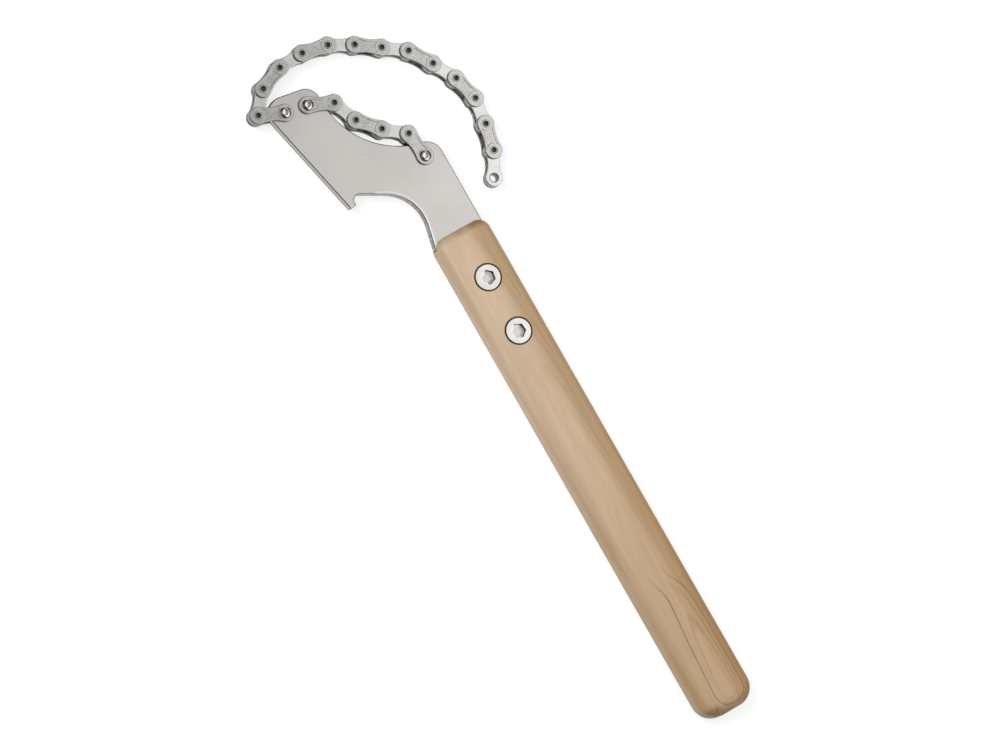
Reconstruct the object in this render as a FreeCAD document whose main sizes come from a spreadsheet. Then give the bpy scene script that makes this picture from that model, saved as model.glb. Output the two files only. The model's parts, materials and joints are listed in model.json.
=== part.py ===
import FreeCAD
import Part
import math
import os
import re
import Sketcher

# A chain whip: a flat steel blade let into the end of a wooden handle, a short chain
# fixed at both ends across the blade's saddle, and a long chain fixed at one end.
# The tool lies flat. X runs along the handle from the blade to the butt, Z is up, and
# the origin is the middle of the handle's flat back. Lengths are in millimetres.

SIZES = [
    ("handle_length", 252.6), ("handle_width", 28.0), ("handle_thick", 16.0),
    ("handle_edge", 5.0), ("front_corner", 5.6), ("butt_corner", 9.6),
    ("blade_thick", 5.6), ("blade_bevel", 0.35), ("blade_side", 12.6),
    ("tang_past_screw", 16.2), ("tang_low", 11.5), ("tang_corner", 3.0), ("tang_fit", 0.1),
    ("chain_pitch", 12.7), ("roller_dia", 7.75), ("inner_width", 3.3),
    ("inner_plate_thick", 1.15), ("outer_plate_thick", 1.1), ("side_play", 0.1),
    ("plate_eye", 4.1), ("outer_waist", 3.2), ("inner_waist", 2.9),
    ("panel_rim", 3.15), ("panel_half", 2.1), ("panel_depth", 0.2),
    ("pin_dia", 3.66), ("pin_play", 0.05), ("pin_stand", 0.15),
    ("pin_hole_dia", 2.3), ("pin_hole_depth", 2.0),
    ("collar_dia", 5.0), ("collar_gap", 0.3), ("roller_play", 0.08),
    ("rivet_head_dia", 5.7), ("rivet_head_height", 1.0), ("rivet_dimple_dia", 1.4),
    ("rivet_dimple_depth", 0.5), ("rivet_play", 0.05), ("open_pivot_play", 0.15),
    ("long_rivet_x", -85.2), ("long_rivet_y", -43.8),
    ("short_rivet_x", -83.3), ("short_rivet_y", -32.8),
    ("lug_wide", 7.6), ("lug_narrow", 7.15), ("head_corner", 7.4),
    ("spine_angle", 12.86), ("spine_offset", 7.17), ("head_side_angle", 81.0),
    ("head_side_offset", 7.85),
    ("lug_shift", 1.4), ("lug_side_angle", 76.0), ("saddle_straight", 1.2),
    ("barb_x", -32.7), ("barb_y", -35.6), ("barb_angle", 10.0), ("barb_corner", 0.4),
    ("hook_end_angle", 101.5), ("hook_corner", 0.8), ("notch_radius", 2.6),
    ("arch_radius", 20.0), ("arch_side_x", -30.38), ("arch_side_y", -21.16),
    ("arch_side_angle", 61.5), ("arch_low_x", -8.3), ("arch_low_y", -11.21),
    ("arch_low_angle", 13.0), ("heel_x", 3.6), ("heel_corner", 1.2), ("shoulder_corner", 0.2),
    ("screw_first", 25.7), ("screw_spacing", 28.1), ("screw_head_dia", 12.0),
    ("screw_head_thick", 2.3), ("screw_shank_dia", 8.0), ("screw_play", 0.05),
    ("barrel_dia", 10.0), ("barrel_fit", 0.1), ("barrel_gap", 0.4),
    ("recess_dia", 13.2), ("recess_rest", 0.2), ("hex_flats", 6.2), ("hex_depth", 3.0),
    ("nut_hex_depth", 1.7),
]

# Direction of each link of the two chains, in degrees from +X, starting at its rivet.
LONG_LINKS = [-112, 139, 112, 94, 79, 63, 56, 55, 34, 29, 15, -8, -13, -29]
SHORT_LINKS = [67, 22, 43, 52, 7]

doc = FreeCAD.newDocument("chain_whip")
sheet = doc.addObject("Spreadsheet::Sheet", "Sizes")
size = {}
for row, (alias, number) in enumerate(SIZES, start=1):
    sheet.set("A%d" % row, alias)
    sheet.set("B%d" % row, str(number))
    sheet.setAlias("B%d" % row, alias)
    size[alias] = number
doc.recompute()

Vector = FreeCAD.Vector
UP = Vector(0, 0, 1)


def bind(obj, prop, formula):
    """Tie a property to a formula of sheet cells, each written as its bare alias."""
    def in_sheet(word):
        return "Sizes." + word.group() if word.group() in size else word.group()

    obj.setExpression(prop, re.sub(r"[a-z_]+", in_sheet, formula))


def new_body(name):
    """An empty body with a name and label of its own."""
    body = doc.addObject("PartDesign::Body", name)
    body.Label = name
    return body


def plane_sketch(body, name, height=None):
    """A sketch on the body's XY plane, raised by a formula of sheet cells if given."""
    plane = [f for f in body.Origin.OriginFeatures if f.Role == "XY_Plane"][0]
    sketch = body.newObject("Sketcher::SketchObject", name)
    sketch.AttachmentSupport = (plane, [""])
    sketch.MapMode = "FlatFace"
    if height:
        bind(sketch, "AttachmentOffset.Base.z", height)
    return sketch


def dimension(sketch, name, formula, *constraint):
    """Add a driving dimension bound to a formula of sheet cells."""
    index = sketch.addConstraint(Sketcher.Constraint(*constraint))
    sketch.renameConstraint(index, name)
    bind(sketch, "Constraints." + name, formula)


def pad(body, sketch, length, both_ways=False):
    """Extrude a sketch upwards, or half each way from its plane."""
    feature = body.newObject("PartDesign::Pad", sketch.Name + "_pad")
    feature.Profile = sketch
    bind(feature, "Length", length)
    feature.Midplane = both_ways
    doc.recompute()
    return feature


def pocket(body, sketch, length=None, both_ways=False, upwards=False):
    """Cut a sketch out of the body, right through unless a length is given."""
    feature = body.newObject("PartDesign::Pocket", sketch.Name + "_cut")
    feature.Profile = sketch
    feature.Midplane = both_ways
    feature.Reversed = upwards
    if length:
        bind(feature, "Length", length)
    else:
        feature.Type = "ThroughAll"
    doc.recompute()
    return feature


def circle(sketch, x, y, radius):
    """A circle at a worked-out place whose radius is bound to the sheet."""
    geo = sketch.addGeometry(Part.Circle(Vector(x, y, 0), UP, 1.0), False)
    sketch.addConstraint(Sketcher.Constraint("DistanceX", -1, 1, geo, 3, x))
    sketch.addConstraint(Sketcher.Constraint("DistanceY", -1, 1, geo, 3, y))
    dimension(sketch, "radius_%d" % geo, radius, "Radius", geo, 1.0)


def rounded_outline(sketch, corners):
    """A closed outline of straight runs joined by tangent arcs.

    Each corner is (x, y, its radius as an alias or a worked-out number), given in order.
    """
    count = len(corners)
    radii = [size.get(radius, radius) for _, _, radius in corners]
    points = [Vector(x, y, 0) for x, y, _ in corners]
    starts, ends = [], []
    for i in range(count):
        back = (points[i - 1] - points[i]).normalize()
        ahead = (points[(i + 1) % count] - points[i]).normalize()
        half = back.getAngle(ahead) / 2
        reach = radii[i] / math.tan(half)
        starts.append(points[i] + back * reach)
        ends.append(points[i] + ahead * reach)
    lines, arcs = [], []
    for i in range(count):
        lines.append(sketch.addGeometry(Part.LineSegment(ends[i], starts[(i + 1) % count]), False))
    for i in range(count):
        radius = radii[i]
        middle = (starts[i] + ends[i]) / 2
        inward = (middle - points[i]).normalize()
        half_chord = (starts[i] - ends[i]).Length / 2
        centre = middle + inward * math.sqrt(radius ** 2 - half_chord ** 2)
        turn = (points[i] - points[i - 1]).cross(points[(i + 1) % count] - points[i]).z
        first, last = (starts[i], ends[i]) if turn > 0 else (ends[i], starts[i])
        angles = [math.atan2(p.y - centre.y, p.x - centre.x) for p in (first, last)]
        if angles[1] < angles[0]:
            angles[1] += 2 * math.pi
        arc = sketch.addGeometry(Part.ArcOfCircle(Part.Circle(centre, UP, radius), *angles), False)
        arcs.append(arc)
        before, after = (1, 2) if turn > 0 else (2, 1)
        mark = sketch.addGeometry(Part.Point(points[i]), True)
        rules = [
            ("Tangent", lines[i - 1], 2, arc, before),
            ("Tangent", arc, after, lines[i], 1),
            ("PointOnObject", mark, 1, lines[i - 1]),
            ("PointOnObject", mark, 1, lines[i]),
            ("DistanceX", -1, 1, mark, 1, points[i].x),
            ("DistanceY", -1, 1, mark, 1, points[i].y),
        ]
        sketch.addConstraint([Sketcher.Constraint(*rule) for rule in rules])
        dimension(sketch, "corner_%d" % i, str(corners[i][2]), "Radius", arc, radius)


def meet(point_a, degrees_a, point_b, degrees_b):
    """Where two straight lines meet, each given by a point and a direction."""
    ax, ay = point_a
    bx, by = point_b
    cos_a, sin_a = math.cos(math.radians(degrees_a)), math.sin(math.radians(degrees_a))
    cos_b, sin_b = math.cos(math.radians(degrees_b)), math.sin(math.radians(degrees_b))
    along = ((bx - ax) * sin_b - (by - ay) * cos_b) / (cos_a * sin_b - sin_a * cos_b)
    return ax + along * cos_a, ay + along * sin_a


def away(point, distance, degrees):
    """The point at a distance from another in a direction."""
    turn = math.radians(degrees)
    return point[0] + distance * math.cos(turn), point[1] + distance * math.sin(turn)


def chain_points(start, directions):
    """The pin centres of a chain that starts at a rivet."""
    points = [start]
    for degrees in directions:
        points.append(away(points[-1], size["chain_pitch"], degrees))
    return points


# The two chains' pin centres, measured from the middle of the handle's front end.
long_start = (size["long_rivet_x"], size["long_rivet_y"])
short_start = (size["short_rivet_x"], size["short_rivet_y"])
long_points = chain_points(long_start, LONG_LINKS)
short_points = chain_points(short_start, SHORT_LINKS)
short_end = short_points[-1]
screw_xs = [size["screw_first"], size["screw_first"] + size["screw_spacing"]]
tang_end = screw_xs[-1] + size["tang_past_screw"]


def place(obj, x=0.0, y=0.0, degrees=0.0):
    """Set an object where the handle's front end and mid-plane put it."""
    obj.Placement = FreeCAD.Placement(Vector(x, y, 0), FreeCAD.Rotation(UP, degrees))
    bind(obj, "Placement.Base.x", "%.6f - handle_length / 2" % x)
    bind(obj, "Placement.Base.z", "handle_thick / 2")


def group(name, members):
    """Separate solids kept together under one name."""
    made = doc.addObject("Part::Compound", name)
    made.Label = name
    made.Links = members
    return made


# Blade: a plate with a saddle between two lugs, a hook at its spine's end and a tang.
def blade_corners():
    """The corners of the blade's outline, from the tang's end round to the tang's end.

    The heel is wider than the tang and fills the handle's slot where its corner is open.
    """
    side, low = size["blade_side"], -size["tang_low"]
    spine, head_side = size["spine_angle"], size["head_side_angle"]
    lug_side, arch_side = size["lug_side_angle"], size["arch_side_angle"]
    lug_centre = (short_end[0] + size["lug_shift"], side - size["lug_wide"])
    lug_point = away(lug_centre, size["lug_wide"], lug_side + 90)
    lug = meet((0, side), 0, lug_point, lug_side)
    narrow_top = (short_start[0], short_start[1] + size["lug_narrow"])
    saddle = meet(narrow_top, 0, lug_point, lug_side)
    side_point = away(short_start, size["head_side_offset"], head_side + 90)
    narrow = meet(narrow_top, 0, side_point, head_side)
    spine_point = away(long_start, size["spine_offset"], spine - 90)
    head = meet(spine_point, spine, side_point, head_side)
    barb = (size["barb_x"], size["barb_y"])
    hook = meet(spine_point, spine, barb, size["hook_end_angle"])
    arch_side_point = (size["arch_side_x"], size["arch_side_y"])
    arch_low_point = (size["arch_low_x"], size["arch_low_y"])
    notch = meet(barb, size["barb_angle"], arch_side_point, arch_side)
    arch = meet(arch_side_point, arch_side, arch_low_point, -size["arch_low_angle"])
    heel = meet(arch_low_point, -size["arch_low_angle"], (size["heel_x"], 0), 90)
    flat_run = saddle[0] - short_start[0]
    steep_run = math.dist(saddle, lug_point)
    half_bend = math.radians(180 - lug_side) / 2
    saddle_radius = (min(flat_run, steep_run) - size["saddle_straight"]) * math.tan(half_bend)
    return [
        (tang_end, side, "tang_corner"),
        (*lug, "lug_wide"),
        (*saddle, saddle_radius),
        (*narrow, "lug_narrow"),
        (*head, "head_corner"),
        (*hook, "hook_corner"),
        (*barb, "barb_corner"),
        (*notch, "notch_radius"),
        (*arch, "arch_radius"),
        (*heel, "heel_corner"),
        (size["heel_x"], low, "shoulder_corner"),
        (tang_end, low, "tang_corner"),
    ]


def outline_edges(shape, height):
    """Names of the edges that lie on the two outer faces' outlines, holes left out."""
    names = []
    for face in shape.Faces:
        if abs(face.CenterOfMass.z) > height - 0.01 and abs(face.normalAt(0, 0).z) > 0.99:
            for edge in face.OuterWire.Edges:
                names += ["Edge%d" % (i + 1) for i, e in enumerate(shape.Edges) if e.isSame(edge)]
    return sorted(set(names))


def dress(body, kind, prop, formula, height):
    """Bevel or round the outlines of a plate's two faces."""
    base = body.Tip
    feature = body.newObject("PartDesign::" + kind, body.Name + "_" + kind.lower())
    feature.Base = (base, outline_edges(base.Shape, height))
    bind(feature, prop, formula)
    doc.recompute()
    body.Tip = feature
    doc.recompute()


def make_blade():
    body = new_body("blade")
    outline = plane_sketch(body, "blade_outline")
    rounded_outline(outline, blade_corners())
    pad(body, outline, "blade_thick", both_ways=True)
    dress(body, "Chamfer", "Size", "blade_bevel", size["blade_thick"] / 2)
    holes = plane_sketch(body, "rivet_holes")
    circle(holes, *long_start, "pin_dia / 2 - rivet_play")
    circle(holes, *short_start, "pin_dia / 2 - rivet_play")
    circle(holes, *short_end, "pin_dia / 2 - open_pivot_play")
    pocket(body, holes, both_ways=True)
    bores = plane_sketch(body, "tang_bores")
    for x in screw_xs:
        circle(bores, x, 0.0, "barrel_dia / 2 + barrel_fit")
    pocket(body, bores, both_ways=True)
    place(body)
    return body


# Handle: a flat bar of wood with rounded edges, mortised for the tang and open at one
# corner for the heel.
def make_handle():
    body = new_body("handle")
    half, length = size["handle_width"] / 2, size["handle_length"]
    outline = plane_sketch(body, "handle_outline")
    rounded_outline(outline, [
        (0.0, -half, "front_corner"), (length, -half, "butt_corner"),
        (length, half, "butt_corner"), (0.0, half, "front_corner"),
    ])
    pad(body, outline, "handle_thick", both_ways=True)
    dress(body, "Fillet", "Radius", "handle_edge", size["handle_thick"] / 2)
    mortise = plane_sketch(body, "mortise")
    fit = size["tang_fit"]
    reach, top, low = tang_end + fit, size["blade_side"] + fit, -size["tang_low"] - fit
    mouth, open_side, shoulder = -1.0, -half - 1.0, size["heel_x"] + fit
    corners = [
        (mouth, open_side), (shoulder, open_side), (shoulder, low),
        (reach, low), (reach, top), (mouth, top),
    ]
    count = len(corners)
    for i in range(count):
        start, end = Vector(*corners[i], 0), Vector(*corners[(i + 1) % count], 0)
        mortise.addGeometry(Part.LineSegment(start, end), False)
    for i in range(count):
        x, y = corners[(i + 1) % count]
        mortise.addConstraint([
            Sketcher.Constraint("Coincident", i, 2, (i + 1) % count, 1),
            Sketcher.Constraint("DistanceX", -1, 1, i, 2, x),
            Sketcher.Constraint("DistanceY", -1, 1, i, 2, y),
        ])
    pocket(body, mortise, "blade_thick + 2 * tang_fit", both_ways=True)
    bores = plane_sketch(body, "screw_bores")
    front = plane_sketch(body, "front_recesses", "handle_thick / 2")
    back = plane_sketch(body, "back_recesses", "0 - handle_thick / 2")
    for x in screw_xs:
        circle(bores, x, 0.0, "barrel_dia / 2 + barrel_fit")
        circle(front, x, 0.0, "recess_dia / 2")
        circle(back, x, 0.0, "recess_dia / 2")
    pocket(body, bores, both_ways=True)
    pocket(body, front, "screw_head_thick + recess_rest")
    pocket(body, back, "screw_head_thick + recess_rest", upwards=True)
    place(body)
    return body


def cylinder(name, radius, length, base):
    """A cylinder up the Z axis, all its sizes bound to the sheet."""
    made = doc.addObject("Part::Cylinder", name)
    bind(made, "Radius", radius)
    bind(made, "Height", length)
    bind(made, "Placement.Base.z", base)
    return made


def joined(name, members):
    """Overlapping pieces made into one solid."""
    made = doc.addObject("Part::MultiFuse", name)
    made.Shapes = members
    made.Refine = True
    return made


def cut(name, base, tools):
    """A solid with others taken out of it, one after another."""
    for number, tool in enumerate(tools, start=1):
        made = doc.addObject("Part::Cut", name if number == len(tools) else name + "_%d" % number)
        made.Base = base
        made.Tool = tool
        base = made
    return base


def copies(name, master, spots):
    """One group of copies of a piece, each set at its own place on the tool."""
    members = []
    for number, (x, y) in enumerate(spots, start=1):
        member = group(name + "_copy_%d" % number, [master])
        place(member, x, y)
        members.append(member)
    return group(name, members)


def hexagon(name, depth, base):
    """The prism that cuts a hexagon socket."""
    made = doc.addObject("Part::Prism", name)
    made.Polygon = 6
    bind(made, "Circumradius", "hex_flats / sqrt(3)")
    bind(made, "Height", depth)
    bind(made, "Placement.Base.z", base)
    return made


# Screws: flat round heads with hexagon sockets, each turned into a barrel nut's bore.
def make_screws():
    under_head = "(handle_thick / 2 - recess_rest / 2 - screw_head_thick)"
    head = cylinder("screw_head", "screw_head_dia / 2", "screw_head_thick", under_head)
    shank = cylinder("screw_shank", "screw_shank_dia / 2", "handle_thick / 2",
                     under_head + " - handle_thick / 2")
    socket = hexagon("screw_socket", "hex_depth", under_head + " + screw_head_thick - hex_depth")
    screw = cut("screw", joined("screw_blank", [head, shank]), [socket])
    return copies("screws", screw, [(x, 0.0) for x in screw_xs])


def make_barrel_nuts():
    head_base = "0 - handle_thick / 2 + recess_rest / 2"
    head = cylinder("nut_head", "screw_head_dia / 2", "screw_head_thick", head_base)
    barrel = cylinder("nut_barrel", "barrel_dia / 2",
                      "handle_thick - recess_rest - screw_head_thick - barrel_gap", head_base)
    bore = cylinder("nut_bore", "screw_shank_dia / 2 + screw_play", "handle_thick",
                    head_base + " + screw_head_thick")
    nut = cut("barrel_nut", joined("nut_blank", [head, barrel]),
              [bore, hexagon("nut_socket", "nut_hex_depth", head_base)])
    return copies("barrel_nuts", nut, [(x, 0.0) for x in screw_xs])


# Heights above the tool's mid-plane that the chain, the blade and the rivets share.
INNER_BASE = "(inner_width / 2)"
OUTER_BASE = "(inner_width / 2 + inner_plate_thick + side_play)"
OUTER_TOP = "(inner_width / 2 + inner_plate_thick + side_play + outer_plate_thick)"
HEAD_BASE = "(inner_width / 2 + inner_plate_thick + side_play + outer_plate_thick + rivet_play)"


def mirrored(name, source):
    """The same piece on the other side of the mid-plane."""
    made = doc.addObject("Part::Mirroring", name)
    made.Source = source
    made.Normal = (0, 0, 1)
    made.Base = (0, 0, 0)
    return made


# Rivets: a shank through the blade and the outer plates, with a dimpled dome at each end.
def make_rivet(name, play):
    """A rivet whose shank clears the outer plates by the given play."""
    shank = cylinder(name + "_shank", "pin_dia / 2 - " + play, "2 * " + HEAD_BASE,
                     "0 - " + HEAD_BASE)
    ball = "((rivet_head_dia / 2) ^ 2 + rivet_head_height ^ 2) / (2 * rivet_head_height)"
    dome = doc.addObject("Part::Sphere", name + "_dome")
    bind(dome, "Radius", ball)
    bind(dome, "Angle1", "asin(1 - rivet_head_height / (" + ball + "))")
    bind(dome, "Placement.Base.z", HEAD_BASE + " + rivet_head_height - " + ball)
    dimple = doc.addObject("Part::Cone", name + "_dimple")
    bind(dimple, "Radius1", "rivet_dimple_dia / 8")
    bind(dimple, "Radius2", "rivet_dimple_dia / 2")
    bind(dimple, "Height", "rivet_dimple_depth")
    bind(dimple, "Placement.Base.z", HEAD_BASE + " + rivet_head_height - rivet_dimple_depth")
    head = cut(name + "_head", dome, [dimple])
    return joined(name, [shank, head, mirrored(name + "_back_head", head)])


def make_rivets():
    rivet = make_rivet("rivet", "rivet_play")
    open_rivet = make_rivet("open_rivet", "open_pivot_play")
    spots = [(rivet, long_start), (rivet, short_start), (open_rivet, short_end)]
    members = []
    for number, (master, spot) in enumerate(spots, start=1):
        member = group("rivets_copy_%d" % number, [master])
        place(member, *spot)
        members.append(member)
    return group("rivets", members)


# Chain pieces, each drawn once with its first pin at the origin and its second along X.
WAIST_RADIUS = "((chain_pitch / 2) ^ 2 + %s ^ 2 - plate_eye ^ 2) / (2 * (plate_eye - %s))"
WAIST_CENTRE = "%s + " + WAIST_RADIUS


def waist_arc(half):
    """How far out the centre of a plate's hollow side lies, and the hollow's radius."""
    pitch, eye = size["chain_pitch"], size["plate_eye"]
    hollow = ((pitch / 2) ** 2 + half ** 2 - eye ** 2) / (2 * (eye - half))
    return half + hollow, hollow


def plate_outline(sketch, waist):
    """Two round eyes joined by two hollow waists, all tangent to each other."""
    pitch, eye, half = size["chain_pitch"], size["plate_eye"], size[waist]
    hollow = waist_arc(half)[1]
    lean = math.atan2(half + hollow, pitch / 2)
    arcs = [
        (0.0, 0.0, eye, lean, 2 * math.pi - lean),
        (pitch / 2, -half - hollow, hollow, lean, math.pi - lean),
        (pitch, 0.0, eye, lean - math.pi, math.pi - lean),
        (pitch / 2, half + hollow, hollow, math.pi + lean, 2 * math.pi - lean),
    ]
    for x, y, radius, first, last in arcs:
        ring = Part.Circle(Vector(x, y, 0), UP, radius)
        sketch.addGeometry(Part.ArcOfCircle(ring, first, last), False)
    rules = [
        ("Tangent", 0, 2, 1, 2), ("Tangent", 1, 1, 2, 1), ("Tangent", 2, 2, 3, 2),
        ("Tangent", 3, 1, 0, 1), ("Coincident", 0, 3, -1, 1), ("PointOnObject", 2, 3, -1),
        ("Equal", 0, 2), ("Equal", 1, 3),
    ]
    sketch.addConstraint([Sketcher.Constraint(*rule) for rule in rules])
    dimension(sketch, "pitch", "chain_pitch", "DistanceX", 0, 3, 2, 3, pitch)
    dimension(sketch, "eye", "plate_eye", "Radius", 0, eye)
    dimension(sketch, "hollow", WAIST_RADIUS % (waist, waist), "Radius", 1, hollow)


def make_outer_plates():
    """A pair of outer plates, each with a shallow pressed panel between its rims."""
    body = new_body("outer_plate")
    outline = plane_sketch(body, "outer_outline", OUTER_BASE)
    plate_outline(outline, "outer_waist")
    pad(body, outline, "outer_plate_thick")
    holes = plane_sketch(body, "outer_holes", OUTER_BASE)
    for x in (0.0, size["chain_pitch"]):
        circle(holes, x, 0.0, "pin_dia / 2")
    pocket(body, holes, both_ways=True)
    panel = plane_sketch(body, "outer_panel", OUTER_TOP)
    pitch, rim, half = size["chain_pitch"], size["panel_rim"], size["panel_half"]
    centre, hollow = waist_arc(size["outer_waist"])
    bow = centre - half
    span = math.hypot(pitch / 2, centre)
    lean = math.asin((rim ** 2 + span ** 2 - bow ** 2) / (2 * rim * span))
    lean -= math.atan2(pitch / 2, centre)
    corner = (rim * math.cos(lean), rim * math.sin(lean))
    turn = math.atan2(pitch / 2 - corner[0], centre - corner[1])
    arcs = [
        (0.0, 0.0, rim, -lean, lean),
        (pitch / 2, centre, bow, 1.5 * math.pi - turn, 1.5 * math.pi + turn),
        (pitch, 0.0, rim, math.pi - lean, math.pi + lean),
        (pitch / 2, -centre, bow, 0.5 * math.pi - turn, 0.5 * math.pi + turn),
    ]
    for x, y, radius, first, last in arcs:
        ring = Part.Circle(Vector(x, y, 0), UP, radius)
        panel.addGeometry(Part.ArcOfCircle(ring, first, last), False)
    rules = [
        ("Coincident", 0, 2, 1, 1), ("Coincident", 1, 2, 2, 1), ("Coincident", 2, 2, 3, 1),
        ("Coincident", 3, 2, 0, 1), ("Coincident", 0, 3, -1, 1), ("PointOnObject", 2, 3, -1),
        ("Equal", 0, 2), ("Equal", 1, 3), ("Vertical", 3, 3, 1, 3),
    ]
    panel.addConstraint([Sketcher.Constraint(*rule) for rule in rules])
    dimension(panel, "pitch", "chain_pitch", "DistanceX", 0, 3, 2, 3, pitch)
    dimension(panel, "rim", "panel_rim", "Radius", 0, rim)
    dimension(panel, "middle", "chain_pitch / 2", "DistanceX", -1, 1, 1, 3, pitch / 2)
    dimension(panel, "centre", WAIST_CENTRE % ("outer_waist", "outer_waist", "outer_waist"),
              "DistanceY", -1, 1, 1, 3, centre)
    dimension(panel, "centre_below", WAIST_CENTRE % ("outer_waist", "outer_waist", "outer_waist"),
              "DistanceY", 3, 3, -1, 1, centre)
    dimension(panel, "bow", WAIST_CENTRE % ("outer_waist", "outer_waist", "outer_waist")
              + " - panel_half", "Radius", 1, bow)
    pocket(body, panel, "panel_depth")
    return group("outer_pair", [body, mirrored("outer_plate_back", body)])


def make_inner_plates():
    """A pair of inner plates, each with two collars that the rollers turn on."""
    body = new_body("inner_plate")
    outline = plane_sketch(body, "inner_outline", INNER_BASE)
    plate_outline(outline, "inner_waist")
    pad(body, outline, "inner_plate_thick")
    collars = plane_sketch(body, "collars", "collar_gap / 2")
    bores = plane_sketch(body, "inner_bores", INNER_BASE)
    for x in (0.0, size["chain_pitch"]):
        circle(collars, x, 0.0, "collar_dia / 2")
        circle(bores, x, 0.0, "pin_dia / 2 + pin_play")
    pad(body, collars, "inner_width / 2 - collar_gap / 2")
    pocket(body, bores, both_ways=True)
    return group("inner_pair", [body, mirrored("inner_plate_back", body)])


def make_roller():
    """A plain ring, a little narrower than the space between the inner plates."""
    width = "inner_width - 2 * side_play"
    base = "0 - inner_width / 2 + side_play"
    ring = cylinder("roller_ring", "roller_dia / 2", width, base)
    bore = cylinder("roller_bore", "collar_dia / 2 + roller_play", width, base)
    return cut("roller", ring, [bore])


def make_pin():
    """A pin that stands a little proud of the outer plates, drilled at both ends."""
    half = "(" + OUTER_TOP + " + pin_stand)"
    shank = cylinder("pin_shank", "pin_dia / 2", "2 * " + half, "0 - " + half)
    drill = cylinder("pin_drill", "pin_hole_dia / 2", "pin_hole_depth",
                     half + " - pin_hole_depth")
    return cut("pin", shank, [drill, mirrored("pin_back_drill", drill)])


def make_chain(name, points, directions, pieces, closed):
    """Every link of one chain as groups of separate pieces, outer and inner in turn."""
    nodes = []
    last = len(directions) - 1
    for index, degrees in enumerate(directions):
        number, inner = index // 2 + 1, index % 2 == 1
        kind = "inner" if inner else "outer"
        plates = group("%s_%s_plates_%d" % (name, kind, number), [pieces[kind]])
        place(plates, *points[index], degrees)
        nodes.append(plates)
        ends = [index, index + 1]
        if inner:
            for end in ends:
                nodes.append(copies("%s_roller_%02d" % (name, end), pieces["roller"], [points[end]]))
            continue
        riveted = [0] + ([last + 1] if closed else [])
        spots = [points[end] for end in ends if end not in riveted]
        nodes.append(copies("%s_pins_%d" % (name, number), pieces["pin"], spots))
    return nodes


handle, blade = make_handle(), make_blade()
nodes = [handle, blade, make_rivets(), make_screws(), make_barrel_nuts()]
pieces = {
    "outer": make_outer_plates(), "inner": make_inner_plates(),
    "roller": make_roller(), "pin": make_pin(),
}
nodes += make_chain("long", long_points, LONG_LINKS, pieces, closed=False)
nodes += make_chain("short", short_points, SHORT_LINKS, pieces, closed=True)
doc.recompute()

for obj in doc.Objects:
    if "Invalid" in obj.State or "Error" in obj.State:
        raise SystemExit("failed: %s %s" % (obj.Name, obj.State))
os.makedirs("parts", exist_ok=True)
for node in nodes:
    if node.Shape.isNull() or not node.Shape.isValid():
        raise SystemExit("bad shape: " + node.Label)
    solids = node.Shape.Solids
    shape = solids[0] if len(solids) == 1 else Part.makeCompound(solids)
    shape.exportStep("parts/" + node.Label + ".step")
print("%d nodes, %d solids" % (len(nodes), sum(len(n.Shape.Solids) for n in nodes)))
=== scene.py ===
"""The looks of a bicycle chain whip: satin blade, nickel chains, bright screws, oiled wood.

Lengths are in metres, in the part's own frame: X runs along the handle from the blade to
the butt, Z is up, and the origin is the middle of the handle's flat back.
"""

import bmesh
import bpy
import json
import math
from mathutils import Matrix, Vector


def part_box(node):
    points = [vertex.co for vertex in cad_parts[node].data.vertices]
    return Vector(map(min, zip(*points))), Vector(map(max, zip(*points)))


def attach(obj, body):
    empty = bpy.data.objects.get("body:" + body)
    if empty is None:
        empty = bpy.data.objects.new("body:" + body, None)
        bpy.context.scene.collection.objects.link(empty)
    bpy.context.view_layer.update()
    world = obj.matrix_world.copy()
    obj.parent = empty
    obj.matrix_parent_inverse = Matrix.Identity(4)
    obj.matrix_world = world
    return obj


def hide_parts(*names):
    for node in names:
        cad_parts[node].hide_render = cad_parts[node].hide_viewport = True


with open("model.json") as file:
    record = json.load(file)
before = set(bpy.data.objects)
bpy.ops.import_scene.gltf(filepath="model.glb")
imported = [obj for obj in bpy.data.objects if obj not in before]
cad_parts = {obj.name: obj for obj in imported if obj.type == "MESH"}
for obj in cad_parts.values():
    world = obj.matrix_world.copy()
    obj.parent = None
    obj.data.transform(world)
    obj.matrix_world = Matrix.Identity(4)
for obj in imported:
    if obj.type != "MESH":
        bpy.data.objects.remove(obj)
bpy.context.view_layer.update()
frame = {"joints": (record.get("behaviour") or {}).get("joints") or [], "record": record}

MM = 0.001
ARC_STEP = math.radians(5)
SMOOTH_BEND = math.cos(math.radians(50))

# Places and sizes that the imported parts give.
pivots = {joint["name"]: Vector(joint["pos_m"]) for joint in frame["joints"]}
mounts = {mount["name"]: Vector(mount["pos_m"]) for mount in frame["record"]["mounts"]}
handle_low, handle_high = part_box("handle")
FRONT = handle_low.x
HANDLE_LENGTH = handle_high.x - handle_low.x
HANDLE_WIDTH = handle_high.y - handle_low.y
HANDLE_THICK = handle_high.z - handle_low.z
MID = HANDLE_THICK / 2
BLADE_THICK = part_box("blade")[1].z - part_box("blade")[0].z
ROLLER_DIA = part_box("long_roller_01")[1].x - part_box("long_roller_01")[0].x
ROLLER_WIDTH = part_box("long_roller_01")[1].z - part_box("long_roller_01")[0].z
PIN_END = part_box("long_pins_1")[1].z - MID
INNER_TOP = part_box("long_inner_plates_1")[1].z - MID
OUTER_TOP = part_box("long_outer_plates_1")[1].z - MID
RIVET_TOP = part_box("rivets")[1].z - MID

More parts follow.
